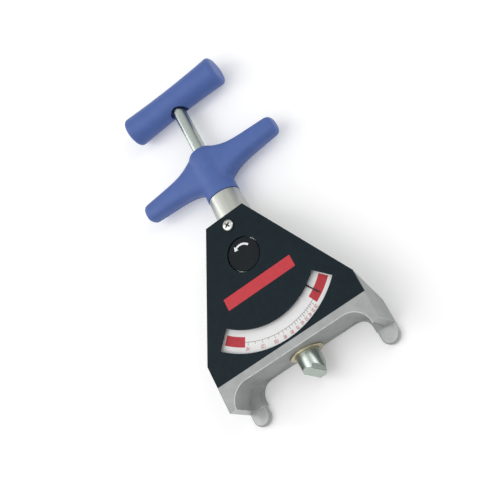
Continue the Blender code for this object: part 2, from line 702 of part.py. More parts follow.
def dial_screw_places():
    """Where the two dial screws stand, left and right of the window."""
    across = DIAL_SCREW_RADIUS_AT * math.sin(DIAL_SCREW_ANGLE)
    up = PIVOT_Y - DIAL_SCREW_RADIUS_AT * math.cos(DIAL_SCREW_ANGLE)
    return (("left", -across, up), ("right", across, up))


def dial_outline():
    """The scale's arc band with a screw ear at each end."""
    band = dial_sector(DIAL_INNER, DIAL_OUTER, DIAL_HALF_ANGLE)
    outer, inner = band[: WINDOW_STEPS + 1], band[WINDOW_STEPS + 1 :]
    centre = dial_screw_places()[1][1:]
    quarter = math.pi / 2
    ear = arc_points(
        centre,
        DIAL_EAR_RADIUS,
        DIAL_SCREW_ANGLE - quarter,
        DIAL_SCREW_ANGLE + quarter,
        DIAL_EAR_STEPS,
    )
    return [*outer, *ear, *inner, *[(-x, y) for x, y in reversed(ear)]]


def make_dial(frame):
    """The white scale plate and the screws that hold it to the movement plate."""
    band = dial_outline()
    dial = piece("dial_plate", prism(band, DIAL_Z, DIAL_Z + DIAL_THICKNESS), "dial_white", frame)
    for label, x, y in dial_screw_places():
        hole = screw_hole(DIAL_SCREW_SHANK_RADIUS, DIAL_Z - OVERRUN, DIAL_Z + DIAL_THICKNESS + OVERRUN)
        cut(dial, moved(hole, x, y), f"hole_{label}")
        make_screw(
            f"dial_screw_{label}",
            (x, y, DIAL_Z + DIAL_THICKNESS + GAP),
            (DIAL_SCREW_RADIUS, DIAL_SCREW_HEAD),
            (DIAL_SCREW_SHANK_RADIUS, DIAL_SCREW_LENGTH),
            "zinc_steel",
            frame,
            crossed=False,
        )


def stop_pin_places():
    """The two pins that end the pointer's swing."""
    side = math.asin((STOP_PIN_RADIUS + POINTER_HALF_ROOT + GAP) / STOP_PIN_AT)
    high = POINTER_ANGLE + POINTER_SWING_UP + side
    low = POINTER_ANGLE - POINTER_SWING_DOWN - side
    places = []
    for label, angle in (("low", low), ("high", high)):
        x = STOP_PIN_AT * math.sin(angle)
        y = PIVOT_Y - STOP_PIN_AT * math.cos(angle)
        places.append((label, x, y))
    return places


def make_movement(frame):
    """The plate on four posts that carries the bearing, the dial and the stops."""
    inset = WALL + MOVEMENT_MARGIN
    side = PLATE_HALF_WIDTH - inset
    reach = PLATE_HALF_WIDTH - inset * SLOPE_STRETCH - side
    corner_y = shoulder_y(MOVEMENT_Z) + reach / PLATE_SLOPE
    top_half = slope_x(MOVEMENT_TOP_Y, MOVEMENT_Z, inset)
    half = ((side, MOVEMENT_LOW_Y), (side, corner_y), (top_half, MOVEMENT_TOP_Y))
    outline = [*half, *[(-x, y) for x, y in reversed(half)]]
    plate = piece("movement_plate", prism(outline, MOVEMENT_Z, MOVEMENT_TOP_Z), "zinc_steel", frame)
    low, high = MOVEMENT_Z - OVERRUN, MOVEMENT_TOP_Z + OVERRUN
    notch_half = math.sqrt(max(HOOK_BOSS_RADIUS**2 - (MOVEMENT_Z - AXIS_Z) ** 2, 0)) + NOTCH_MARGIN
    notch_low = (-notch_half, MOVEMENT_LOW_Y - OVERRUN, low)
    cut(plate, block(notch_low, (notch_half, HOOK_BOSS_TOP_Y + GAP, high)), "boss_notch")
    radius = BEARING_RADIUS + GAP
    bearing_hole = turned(((0, low), (radius, low), (radius, high), (0, high)), SMALL_SIDES)
    cut(plate, moved(bearing_hole, 0, PIVOT_Y), "bearing_hole")
    for number, (x, y) in enumerate(POSTS, 1):
        cut(plate, moved(screw_hole(MOVEMENT_SCREW_SHANK_RADIUS, low, high), x, y), f"hole_{number}")
        make_screw(
            f"movement_screw_{number}",
            (x, y, MOVEMENT_TOP_Z + GAP),
            (MOVEMENT_SCREW_RADIUS, MOVEMENT_SCREW_HEAD),
            (MOVEMENT_SCREW_SHANK_RADIUS, MOVEMENT_SCREW_LENGTH),
            "zinc_steel",
            frame,
            crossed=False,
        )
    for label, x, y in dial_screw_places():
        cut(plate, moved(screw_hole(DIAL_SCREW_SHANK_RADIUS, low, high), x, y), f"dial_hole_{label}")
    for label, x, y in stop_pin_places():
        cut(plate, moved(screw_hole(STOP_PIN_RADIUS, low, high), x, y), f"pin_hole_{label}")
        pin = turned(
            ((0, MOVEMENT_Z), (STOP_PIN_RADIUS, MOVEMENT_Z),
             (STOP_PIN_RADIUS, MOVEMENT_TOP_Z + STOP_PIN_HEIGHT), (0, MOVEMENT_TOP_Z + STOP_PIN_HEIGHT)),
            SMALL_SIDES,
        )
        piece(f"stop_pin_{label}", moved(pin, x, y), "bright_steel", frame)
    flange_low = MOVEMENT_Z - GAP - BEARING_FLANGE_THICKNESS
    bore = SHAFT_RADIUS + GAP
    bearing = (
        (bore, flange_low),
        (BEARING_FLANGE_RADIUS, flange_low),
        (BEARING_FLANGE_RADIUS, MOVEMENT_Z - GAP),
        (BEARING_RADIUS, MOVEMENT_Z - GAP),
        (BEARING_RADIUS, MOVEMENT_TOP_Z),
        (bore, MOVEMENT_TOP_Z),
    )
    piece("pinion_bearing", moved(turned(bearing, SMALL_SIDES, bored=True), 0, PIVOT_Y), "brass", frame)
    guide_x = RACK_BACK_X + GAP
    guide_y = PIVOT_Y - GUIDE_LENGTH / 2
    guide = block(
        (guide_x, guide_y, GUIDE_LOW_Z),
        (guide_x + GUIDE_THICKNESS, guide_y + GUIDE_LENGTH, MOVEMENT_Z - GAP),
    )
    piece("rack_guide", guide, "brass", frame, smooth=False)


def involute(base, radius):
    """The angle that an involute has turned through at this radius."""
    slope = math.sqrt(max((radius / base) ** 2 - 1, 0))
    return slope - math.atan(slope)


def pinion_outline():
    """Involute teeth with a gap facing +X, where the rack's tooth enters."""
    base = PITCH_RADIUS * math.cos(PRESSURE_ANGLE)
    tip = PITCH_RADIUS + GEAR_MODULE * ADDENDUM_SHARE
    root = PITCH_RADIUS - GEAR_MODULE * DEDENDUM_SHARE
    half_tooth = math.pi / (2 * PINION_TEETH) - BACKLASH / (4 * PITCH_RADIUS)
    start = max(base, root)
    points = []
    for tooth in range(PINION_TEETH):
        centre = math.tau * (tooth + 0.5) / PINION_TEETH
        flank = []
        for step in range(FLANK_STEPS + 1):
            radius = start + (tip - start) * step / FLANK_STEPS
            half = half_tooth + involute(base, PITCH_RADIUS) - involute(base, radius)
            flank.append((radius, half))
        foot = (root, flank[0][1])
        rising = [foot, *flank]
        for radius, half in rising:
            points.append((radius, centre - half))
        for radius, half in reversed(rising):
            points.append((radius, centre + half))
    return [(radius * math.cos(angle), radius * math.sin(angle)) for radius, angle in points]


def make_pinion(axis):
    """The pinion and its shaft, on the pointer's axis, with the clip that holds it up."""
    high = PINION_Z + PINION_THICKNESS
    pinion = piece("pinion", prism(pinion_outline(), PINION_Z, high), "brass", axis)
    shaft_top = POINTER_Z + POINTER_HUB_HEIGHT
    shaft_low = PINION_Z - SHAFT_FOOT
    shaft = turned(
        ((0, shaft_low), (SHAFT_RADIUS, shaft_low), (SHAFT_RADIUS, shaft_top), (0, shaft_top)),
        SMALL_SIDES,
    )
    join(pinion, shaft, "shaft")
    clip_low = MOVEMENT_TOP_Z + GAP
    clip = ring_profile(SHAFT_RADIUS + GAP, CLIP_RADIUS, clip_low, clip_low + CLIP_THICKNESS)
    piece("pinion_clip", turned(clip, SMALL_SIDES, bored=True), "spring_steel", axis)


def rack_outline():
    """A bar with straight-sided teeth towards the pinion, one of them level with its centre."""
    pitch = math.pi * GEAR_MODULE
    tip_x = PITCH_RADIUS - GEAR_MODULE * ADDENDUM_SHARE
    root_x = PITCH_RADIUS + GEAR_MODULE * DEDENDUM_SHARE
    lean = math.tan(PRESSURE_ANGLE)
    half = pitch / 4 - BACKLASH / 4
    half_tip = half - (PITCH_RADIUS - tip_x) * lean
    half_root = half + (root_x - PITCH_RADIUS) * lean
    below = int((PIVOT_Y - RACK_LOW_Y) / pitch - 0.5)
    above = int((RACK_TOP_Y - PIVOT_Y) / pitch - 0.5)
    points = [(RACK_BACK_X, RACK_TOP_Y), (root_x, RACK_TOP_Y)]
    for number in range(above, -below - 1, -1):
        y = PIVOT_Y + number * pitch
        points += [(root_x, y + half_root), (tip_x, y + half_tip)]
        points += [(tip_x, y - half_tip), (root_x, y - half_root)]
    return [*points, (root_x, RACK_LOW_Y), (RACK_BACK_X, RACK_LOW_Y)]


def make_rack(axis):
    """The rack and the carrier that the rod turns in; the spring pushes on the carrier."""
    rack_high = PINION_Z + PINION_THICKNESS
    rack = piece("rack", prism(rack_outline(), PINION_Z, rack_high), "zinc_steel", axis, smooth=False)
    screw_y = CARRIER_LOW_Y + CARRIER_THICKNESS / 2
    hole = screw_hole(RACK_SCREW_SHANK_RADIUS, PINION_Z - OVERRUN, rack_high + OVERRUN)
    cut(rack, moved(hole, RACK_SCREW_X, screw_y), "screw_hole")
    carrier = piece(
        "rack_carrier",
        moved(rod_y(CARRIER_RADIUS, CARRIER_LOW_Y, CARRIER_TOP_Y, SMALL_SIDES), 0, 0, AXIS_Z),
        "zinc_steel",
        axis,
    )
    arm_low = (CARRIER_ARM_LOW_X, CARRIER_LOW_Y, AXIS_Z)
    arm_high = (RACK_BACK_X, CARRIER_TOP_Y, PINION_Z - GAP)
    join(carrier, block(arm_low, arm_high), "arm")
    bore = rod_y(ROD_RADIUS + GAP, CARRIER_LOW_Y - OVERRUN, CARRIER_TOP_Y + OVERRUN)
    cut(carrier, moved(bore, 0, 0, AXIS_Z), "bore")
    low = rack_high + GAP - RACK_SCREW_LENGTH - GAP
    cut(carrier, moved(screw_hole(RACK_SCREW_SHANK_RADIUS, low, PINION_Z), RACK_SCREW_X, screw_y), "hole")
    make_screw(
        "rack_screw",
        (RACK_SCREW_X, screw_y, rack_high + GAP),
        (RACK_SCREW_RADIUS, RACK_SCREW_HEAD),
        (RACK_SCREW_SHANK_RADIUS, RACK_SCREW_LENGTH),
        "zinc_steel",
        axis,
        crossed=False,
    )


def make_spring(frame):
    """The main spring, wound as one wire between the spring wall's washer and the carrier."""
    seat_low = SPRING_WALL_Y + SPRING_WALL_THICKNESS + GAP
    seat_top = seat_low + SEAT_THICKNESS
    washer = ring_profile(ROD_RADIUS + GAP, SEAT_RADIUS, seat_low, seat_top)
    piece("spring_seat", along_y(turned(washer, SMALL_SIDES, bored=True), AXIS_Z), "zinc_steel", frame)
    stop = ring_profile(ROD_RADIUS + GAP, STOP_WASHER_RADIUS, HOOK_TOP_Y + GAP, SPRING_WALL_Y - GAP)
    piece("stop_washer", along_y(turned(stop, SMALL_SIDES, bored=True), AXIS_Z), "fibre", frame)
    low = seat_top + GAP + WIRE_RADIUS
    high = CARRIER_LOW_Y - GAP - WIRE_RADIUS
    closed_rise = 2 * WIRE_RADIUS + SPRING_CLOSED_GAP
    open_turns = SPRING_TURNS - 2 * SPRING_END_TURNS
    open_rise = (high - low - 2 * SPRING_END_TURNS * closed_rise) / open_turns
    curve = bpy.data.curves.new("main_spring", "CURVE")
    curve.dimensions = "3D"
    curve.bevel_depth = WIRE_RADIUS
    curve.bevel_resolution = WIRE_RESOLUTION
    curve.use_fill_caps = True
    count = SPRING_TURNS * SPRING_POINTS_PER_TURN + 1
    spline = curve.splines.new("POLY")
    spline.points.add(count - 1)
    for i in range(count):
        turn = i / SPRING_POINTS_PER_TURN
        lower = min(turn, SPRING_END_TURNS) * closed_rise
        middle = min(max(turn - SPRING_END_TURNS, 0), open_turns) * open_rise
        upper = max(turn - SPRING_END_TURNS - open_turns, 0) * closed_rise
        y = low + lower + middle + upper
        angle = math.tau * turn
        x = SPRING_MEAN_RADIUS * math.cos(angle)
        z = AXIS_Z + SPRING_MEAN_RADIUS * math.sin(angle)
        spline.points[i].co = (x, y, z, 1)
    curve.materials.append(finish("spring_steel"))
    spring = bpy.data.objects.new("main_spring", curve)
    bpy.context.collection.objects.link(spring)
    spring.parent = frame


def make_rod(axis):
    """The plunger rod on its own axis, with the washer and clip above the carrier."""
    piece("plunger_rod", rod_y(ROD_RADIUS, ROD_LOW_Y, ROD_TOP_Y), "bright_steel", axis)
    rod = bpy.data.objects["plunger_rod"]
    pin_hole = across_x(HOOK_PIN_RADIUS + GAP, HOOK_RADIUS + OVERRUN, HOOK_PIN_Y)
    cut(rod, pin_hole, "pin_hole")
    washer_low = CARRIER_TOP_Y + GAP
    bore = ROD_RADIUS + GAP
    washer = ring_profile(bore, THRUST_RADIUS, washer_low, washer_low + THRUST_THICKNESS)
    piece("thrust_washer", along_y(turned(washer, SMALL_SIDES, bored=True)), "brass", axis)
    clip_low = washer_low + THRUST_THICKNESS + GAP
    clip = ring_profile(bore, ROD_CLIP_RADIUS, clip_low, clip_low + ROD_CLIP_THICKNESS)
    piece("rod_clip", along_y(turned(clip, SMALL_SIDES, bored=True)), "spring_steel", axis)


def across_x(radius, half_length, y):
    """A round bar through the plunger axis from side to side."""
    profile = ((0, -half_length), (radius, -half_length), (radius, half_length), (0, half_length))
    bm = turned(profile, SMALL_SIDES)
    bmesh.ops.transform(bm, matrix=Matrix.Rotation(math.radians(90), 4, "Y"), verts=bm.verts)
    return moved(bm, 0, y)


def slope_cutter(top_y, low_y, side_reach):
    """A slab under the sloping underside of the hook."""
    reach = side_reach
    outline = (
        (-reach, top_y + reach * HOOK_SLOPE),
        (reach, top_y - reach * HOOK_SLOPE),
        (reach, low_y),
        (-reach, low_y),
    )
    return prism(outline, -HOOK_RADIUS - OVERRUN, HOOK_RADIUS + OVERRUN)


def make_hook(axis):
    """The hook rod: a belt seat cut from one side, over a sloping, bevelled lip."""
    hook = piece("hook_rod", rod_y(HOOK_RADIUS, HOOK_TIP_Y, HOOK_TOP_Y), "zinc_steel", axis)
    reach = HOOK_RADIUS + OVERRUN
    lip_at_seat = HOOK_LIP_TOP_Y - HOOK_SEAT_X * HOOK_SLOPE
    lip_at_mouth = HOOK_LIP_TOP_Y - reach * HOOK_SLOPE
    seat = (
        (HOOK_SEAT_X, HOOK_ROOF_Y),
        (HOOK_SEAT_X, lip_at_seat),
        (reach, lip_at_mouth),
        (reach, HOOK_ROOF_Y),
    )
    cut(hook, prism(seat, -reach, reach), "belt_seat")
    under_y = HOOK_LIP_TOP_Y - HOOK_LIP_THICKNESS
    cut(hook, slope_cutter(under_y, HOOK_TIP_Y - reach, reach), "underside")
    cut(hook, front_bevel(under_y, reach), "front_bevel")
    nose = math.tan(HOOK_NOSE_ANGLE)
    nose_outline = (
        (HOOK_RADIUS, HOOK_ROOF_Y),
        (HOOK_RADIUS - (HOOK_ROOF_Y - HOOK_TIP_Y + OVERRUN) * nose, HOOK_TIP_Y - OVERRUN),
        (reach, HOOK_TIP_Y - OVERRUN),
        (reach, HOOK_ROOF_Y),
    )
    cut(hook, prism(nose_outline, -reach, reach), "nose")
    corner_outline = (
        (0, HOOK_TIP_Y + HOOK_CORNER_CUT / 2),
        (HOOK_RADIUS, HOOK_TIP_Y + HOOK_CORNER_CUT / 2),
        (HOOK_RADIUS, HOOK_TIP_Y - OVERRUN),
        (0, HOOK_TIP_Y - OVERRUN),
    )
    cut(hook, prism(corner_outline, -reach, reach), "corner")
    socket_low = ROD_LOW_Y - HOOK_SOCKET_FLOOR
    cut(hook, rod_y(ROD_RADIUS + GAP, socket_low, HOOK_TOP_Y + OVERRUN), "socket")
    cut(hook, across_x(HOOK_PIN_RADIUS + GAP, reach, HOOK_PIN_Y), "pin_hole")
    pin = across_x(HOOK_PIN_RADIUS, HOOK_PIN_LENGTH / 2, HOOK_PIN_Y)
    piece("hook_pin", pin, "spring_steel", axis)


def front_bevel(under_y, reach):
    """Cuts a flat along the front of the lip, following its slope."""
    front = HOOK_RADIUS
    bm = bmesh.new()
    ends = []
    for x in (-reach, reach):
        low = under_y - x * HOOK_SLOPE
        section = (
            (low + HOOK_BEVEL_RISE, front + HOOK_BEVEL_START),
            (low, front - HOOK_BEVEL_DEPTH),
            (low - reach, front - HOOK_BEVEL_DEPTH),
            (low - reach, front + reach),
            (low + HOOK_LIP_THICKNESS, front + reach),
        )
        ends.append([bm.verts.new((x, y, z)) for y, z in section])
    left, right = ends
    bm.faces.new(reversed(left))
    bm.faces.new(right)
    for i in range(len(left)):
        j = (i + 1) % len(left)
        bm.faces.new((left[i], left[j], right[j], right[i]))
    return bm


def t_radius(share):
    """The T handle's radius from its waist, at 0, to its end, at 1."""
    return T_WAIST_RADIUS + (T_END_RADIUS - T_WAIST_RADIUS) * share**2


def make_t_handle(axis):
    """The moulded T handle: a waisted bar with rounded ends and a recess for the rod."""
    straight = T_HALF_LENGTH - T_END_ROUND
    profile = [(0, -T_HALF_LENGTH)]
    for i in range(T_ROUND_STEPS + 1):
        angle = math.pi / 2 * i / T_ROUND_STEPS
        inset = T_END_ROUND * (1 - math.sin(angle))
        profile.append((T_END_RADIUS - inset, -straight - T_END_ROUND * math.cos(angle)))
    for i in range(1, T_STATIONS):
        place = -1 + 2 * i / T_STATIONS
        profile.append((t_radius(abs(place)), place * straight))
    end = profile[: T_ROUND_STEPS + 2]
    profile += [(radius, -height) for radius, height in reversed(end)]
    bm = turned(profile)
    bmesh.ops.transform(bm, matrix=Matrix.Rotation(math.radians(90), 4, "Y"), verts=bm.verts)
    handle = piece("t_handle", moved(bm, 0, T_CENTRE_Y), "blue_plastic", axis)
    under = T_CENTRE_Y - T_END_RADIUS
    recess = rod_y(T_RECESS_RADIUS, under - OVERRUN, T_CENTRE_Y - T_WAIST_RADIUS + T_RECESS_DEPTH)
    cut(handle, recess, "recess")
    cut(handle, rod_y(ROD_RADIUS + GAP, under - OVERRUN, ROD_TOP_Y + GAP), "bore")


def superellipse(centre, half_y, half_z, x):
    """A squarish oval section across the arm."""
    points = []
    for i in range(CROSS_SECTION_POINTS):
        angle = math.tau * i / CROSS_SECTION_POINTS
        wave_y, wave_z = math.cos(angle), math.sin(angle)
        power = 2 / CROSS_SECTION_POWER
        y = centre[0] + half_y * math.copysign(abs(wave_y) ** power, wave_y)
        z = centre[1] + half_z * math.copysign(abs(wave_z) ** power, wave_z)
        points.append(Vector((x, y, z)))
    return points


def cross_section(x):
    """The arm's half height and half depth at x, with its blend into the hub."""
    out = abs(x) / CROSS_HALF_SPAN
    flare = CROSS_FLARE_Y * math.exp(-((abs(x) / CROSS_FLARE_LENGTH) ** 2) / 2)
    half_y = CROSS_TIP_HALF_Y + CROSS_ARM_GROWTH * (1 - out) + flare
    half_z = CROSS_TIP_HALF_Z + CROSS_ARM_GROWTH * (1 - out)
    end = (abs(x) - (CROSS_HALF_SPAN - CROSS_TIP_ROUND)) / CROSS_TIP_ROUND
    if end > 0:
        inset = CROSS_TIP_ROUND * (1 - math.sqrt(max(1 - min(end, 1) ** 2, 0)))
        half_y -= inset
        half_z -= inset
    return half_y, half_z


def make_cross_handle(frame):
    """The moulded cross handle: two arms that blend into a round, domed hub."""
    inner = CROSS_HALF_SPAN - CROSS_TIP_ROUND
    stations = [inner * (-1 + 2 * i / CROSS_STATIONS) for i in range(CROSS_STATIONS + 1)]
    tip = [inner + CROSS_TIP_ROUND * share for share in CROSS_TIP_SHARES]
    xs = [-x for x in reversed(tip)] + stations + tip
    rings = [superellipse((CROSS_ARM_Y, 0), *cross_section(x), x) for x in xs]
    handle = piece("cross_handle", loft(rings), "blue_plastic", frame)
    crown = CROSS_HUB_TOP_Y - CROSS_HUB_SHOULDER_Y
    profile = [(0, CROSS_HUB_LOW_Y), (CROSS_HUB_RADIUS, CROSS_HUB_LOW_Y)]
    profile.append((CROSS_HUB_WAIST, (CROSS_HUB_LOW_Y + CROSS_ARM_Y) / 2))
    profile.append((CROSS_HUB_RADIUS, CROSS_ARM_Y))
    for i in range(CROSS_CROWN_STEPS + 1):
        angle = math.pi / 2 * i / CROSS_CROWN_STEPS
        spread = CROSS_HUB_RADIUS - CROSS_CROWN_RADIUS
        radius = CROSS_CROWN_RADIUS + spread * math.cos(angle)
        profile.append((radius, CROSS_HUB_SHOULDER_Y + crown * math.sin(angle)))
    profile.append((0, CROSS_HUB_TOP_Y))
    join(handle, along_y(turned(profile)), "hub")
    low = CROSS_HUB_LOW_Y - OVERRUN
    cut(handle, rod_y(CROSS_SPIGOT_RADIUS + GAP, low, CROSS_SPIGOT_TOP_Y + GAP), "socket")
    crown_y = max(CROSS_HUB_TOP_Y, CROSS_ARM_Y + cross_section(0)[0])
    cut(handle, rod_y(ROD_RADIUS + GAP, low, crown_y + OVERRUN), "rod_bore")


def make_neck(frame):
    """The bright collar that screws into the casting, the handle's spigot and its bush."""
    collar_top = CROSS_HUB_LOW_Y - GAP
    bore = NECK_BUSH_RADIUS + GAP
    profile = (
        (bore, NECK_THREAD_LOW_Y),
        (NECK_THREAD_RADIUS, NECK_THREAD_LOW_Y),
        (NECK_THREAD_RADIUS, COLLAR_LOW_Y),
        (COLLAR_LOW_RADIUS, COLLAR_LOW_Y),
        (COLLAR_TOP_RADIUS, collar_top),
        (CROSS_SPIGOT_RADIUS, collar_top),
        (CROSS_SPIGOT_RADIUS, CROSS_SPIGOT_TOP_Y),
        (bore, CROSS_SPIGOT_TOP_Y),
    )
    piece("neck_collar", along_y(turned(profile, bored=True)), "bright_steel", frame)
    bush = ring_profile(ROD_RADIUS + GAP, NECK_BUSH_RADIUS, NECK_BUSH_LOW_Y, NECK_BUSH_TOP_Y)
    piece("neck_bush", along_y(turned(bush, bored=True)), "bronze", frame)


def make_hook_bush(frame):
    """The flanged brass bush that the hook rod slides in."""
    seat_y = HOOK_BOSS_LOW_Y + BUSH_FLANGE_SEAT - GAP
    bore = HOOK_RADIUS + GAP
    profile = (
        (bore, seat_y - BUSH_FLANGE_THICKNESS),
        (BUSH_FLANGE_RADIUS, seat_y - BUSH_FLANGE_THICKNESS),
        (BUSH_FLANGE_RADIUS, seat_y),
        (BUSH_RADIUS, seat_y),
        (BUSH_RADIUS, HOOK_BOSS_TOP_Y),
        (bore, HOOK_BOSS_TOP_Y),
    )
    piece("hook_bush", along_y(turned(profile, bored=True)), "brass", frame)


def pointer_outline():
    """A tapered needle through its hub, pointing along local -Y before it is turned."""
    return (
        (-POINTER_HALF_ROOT, POINTER_TAIL),
        (-POINTER_HALF_TIP, -POINTER_REACH),
        (POINTER_HALF_TIP, -POINTER_REACH),
        (POINTER_HALF_ROOT, POINTER_TAIL),
    )


def knob_outline():
    """The reset knob's rim with shallow flutes for a fingertip."""
    points = []
    for i in range(KNOB_FLUTES * 2):
        angle = math.tau * i / (KNOB_FLUTES * 2)
        radius = KNOB_RADIUS - KNOB_FLUTE_DEPTH * (i % 2)
        points.append((radius * math.cos(angle), radius * math.sin(angle)))
    return points


def make_pointer(axis):
    """The pointer and its hub, the clutch washer below and the reset knob above."""
    needle = prism(pointer_outline(), POINTER_Z, POINTER_Z + POINTER_THICKNESS)
    turn = Matrix.Rotation(POINTER_ANGLE, 4, "Z")
    bmesh.ops.transform(needle, matrix=turn, verts=needle.verts)
    pointer = piece("pointer", needle, "pointer_black", axis)
    high = POINTER_Z + POINTER_HUB_HEIGHT
    hub = turned(
        ((0, POINTER_Z), (POINTER_HUB_RADIUS, POINTER_Z), (POINTER_HUB_RADIUS, high), (0, high)),
        SMALL_SIDES,
    )
    join(pointer, hub, "hub")
    cut(pointer, screw_hole(SHAFT_RADIUS, POINTER_Z - OVERRUN, high + OVERRUN), "bore")
    clutch_high = POINTER_Z - GAP
    washer = ring_profile(SHAFT_RADIUS + GAP, CLUTCH_RADIUS, clutch_high - CLUTCH_THICKNESS, clutch_high)
    piece("clutch_washer", turned(washer, SMALL_SIDES, bored=True), "spring_steel", axis)
    knob = prism(knob_outline(), KNOB_Z, KNOB_Z + KNOB_HEIGHT)
    piece("reset_knob", knob, "knob_black", axis)


def build():
    """Clears the scene and makes every piece under the axis that carries it."""
    for obj in list(bpy.data.objects):
        bpy.data.objects.remove(obj, do_unlink=True)
    frame = axis_empty("gauge_frame", (0, -MIDDLE_Y, 0))
    plunger_axis = axis_empty("plunger_axis", (0, 0, AXIS_Z), frame)
    rack_axis = axis_empty("rack_axis", (0, 0, 0), frame)
    neck_axis = axis_empty("neck_axis", (0, 0, AXIS_Z), frame)
    pinion_axis = axis_empty("pinion_axis", (0, PIVOT_Y, 0), frame)
    pointer_axis = axis_empty("pointer_axis", (0, PIVOT_Y, 0), frame)
    make_housing(frame)
    make_face(frame)
    make_dial(frame)
    make_movement(frame)
    make_spring(frame)
    make_neck(neck_axis)
    make_cross_handle(neck_axis)
    make_hook_bush(neck_axis)
    make_rack(rack_axis)
    make_pinion(pinion_axis)
    make_pointer(pointer_axis)
    make_rod(plunger_axis)
    make_hook(plunger_axis)
    make_t_handle(plunger_axis)


build()
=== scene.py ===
"""Belt tension gauge, dressed for the picture.

The gauge lies on its back: X across the face, Y from the feet to the T handle, Z up out of
the face. Heights along the gauge are written from the front plate's lower edge, and
settle() moves a finished shape from there to the frame's own origin.
"""

import math
from collections import namedtuple

import bmesh
import bpy
from mathutils import Matrix, Vector


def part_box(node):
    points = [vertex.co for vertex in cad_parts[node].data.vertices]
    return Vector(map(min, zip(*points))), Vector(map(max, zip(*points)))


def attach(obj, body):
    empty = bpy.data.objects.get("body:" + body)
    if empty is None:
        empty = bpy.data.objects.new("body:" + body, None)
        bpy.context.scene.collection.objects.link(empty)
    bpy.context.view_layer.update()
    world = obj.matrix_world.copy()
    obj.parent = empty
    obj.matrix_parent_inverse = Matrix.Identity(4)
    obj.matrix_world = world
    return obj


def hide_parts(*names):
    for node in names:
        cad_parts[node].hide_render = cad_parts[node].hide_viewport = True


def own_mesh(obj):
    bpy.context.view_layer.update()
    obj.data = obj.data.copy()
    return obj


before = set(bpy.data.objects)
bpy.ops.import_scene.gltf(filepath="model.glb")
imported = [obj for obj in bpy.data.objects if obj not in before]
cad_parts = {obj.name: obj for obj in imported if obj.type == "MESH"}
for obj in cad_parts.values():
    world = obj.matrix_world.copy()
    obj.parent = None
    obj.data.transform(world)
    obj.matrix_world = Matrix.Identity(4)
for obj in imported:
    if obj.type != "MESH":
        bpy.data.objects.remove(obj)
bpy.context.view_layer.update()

bl_info = {
    "name": "Belt Tension Gauge",
    "version": (1, 0, 0),
    "blender": (4, 5, 0),
    "location": "3D View > Sidebar > Gauge",
    "description": "Dresses a belt tension gauge with its finishes, print and studio",
    "category": "Object",
}

MERGE = 1e-7
NODE_MERGE = 1e-6
FLAT_ANGLE = math.radians(0.6)
SHARP_ANGLE = math.radians(28)
SMOOTH_ANGLE = math.radians(38)

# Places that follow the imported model
PLATE_LOW, PLATE_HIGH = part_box("face_plate")
PLATE_LOW_Y = PLATE_LOW[1]
FACE_Z = PLATE_HIGH[2]
DIAL_TOP_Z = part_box("dial_plate")[1][2]
KNOB_TOP_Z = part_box("reset_knob")[1][2]
SCREW_LOW, SCREW_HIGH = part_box("face_screw")
# The plunger's line above the back, and the pivot above the plate's lower edge
AXIS_Z = 0.0130
PIVOT_Y = 0.0685

# Label, screw and knob
LABEL_LENGTH, LABEL_HEIGHT = 0.0558, 0.0087
LABEL_CORNER = 0.0004
LABEL_CENTRE = (0.0001, 0.04475)
PLATE_EDGE = 0.00018
SCREW_SHANK_RADIUS = 0.0017
SCREW_SHANK_LENGTH = 0.0045
SCREW_SLOT = (0.0060, 0.0012, 0.0022)
SCREW_SLOT_TURN = 28
SCREW_SLOT_TAPER = (0.55, 0.8, 1)
SCREW_WALL_SHARE = 0.35
SCREW_DOME_POWER = 0.55
SCREW_RECESS_RADIUS = 0.0031
RECESS_RIM, RECESS_FLOOR, RECESS_BOTTOM = 0.0001, 0.0009, 0.0013
STEEP_NORMAL = 0.3
KNOB_EDGE = 0.00025
ARROW_INNER, ARROW_OUTER = 0.0064, 0.0078
ARROW_START, ARROW_END = 124, 205
ARROW_HEAD_TURN = 0.36
ARROW_HEAD_HALF_WIDTH = 0.0021

# Handles
T_CENTRE_Y = 0.2093
T_HALF_LENGTH = 0.0405
T_END_RADIUS = 0.0115
T_WAIST_RADIUS = 0.0106
T_END_ROUND = 0.0032
T_RECESS_RADIUS = 0.0070
T_RECESS_DEPTH = 0.0045
T_BORE_DEPTH = 0.0070
T_SIDES = 96
T_RINGS = 24
CROSS_ARM_Y = 0.1455
CROSS_HUB_LOW_Y = 0.1223
CROSS_HUB_TOP_Y = 0.1635
CROSS_HALF_SPAN = 0.0585
ARM_END_ROUND = 0.0040
ARM_END_SHARES = (0.35, 0.65, 0.88, 0.97)
ARM_TIP_HALF_Y, ARM_TIP_HALF_Z = 0.0070, 0.0068
ARM_GROWTH_Y, ARM_GROWTH_Z = 0.0033, 0.0030
ARM_FLARE, ARM_FLARE_WIDTH = 0.0086, 0.0105
ARM_DROP = 0.0004
ARM_SQUARENESS = 0.72
HUB_RADIUS = 0.0121
HUB_FOOT_RADIUS = 0.0122
HUB_WAIST_RADIUS = 0.0119
HUB_SPARE_LENGTH = 0.0040
CROWN_LOW_Y = 0.1530
CROWN_TOP_Y = 0.1622
CROWN_FLAT_RADIUS = 0.0070
SOCKET_RADIUS = 0.0093
SOCKET_TOP_Y = 0.1423
ROD_RADIUS = 0.0050
ROD_CLEARANCE = 0.0003
CUT_OVERRUN = 0.0020

# Casting
FOOT_Y = -0.0195
FRONT_ARCH_Y = -0.0060
FRONT_INNER_X = 0.0546
FRONT_ROUND = 0.0150
FOOT_TOLERANCE = 0.0001
SHORTEST_EASED_EDGE = 0.0012
# Shares of the eased edge's width
BEAD_RADIUS_SHARE, BEAD_INSET_SHARE = 0.7, 0.45

# Hook
HOOK_RADIUS = 0.0085
HOOK_TOP_Y = 0.0380
HOOK_BLANK_TIP_Y = -0.0272
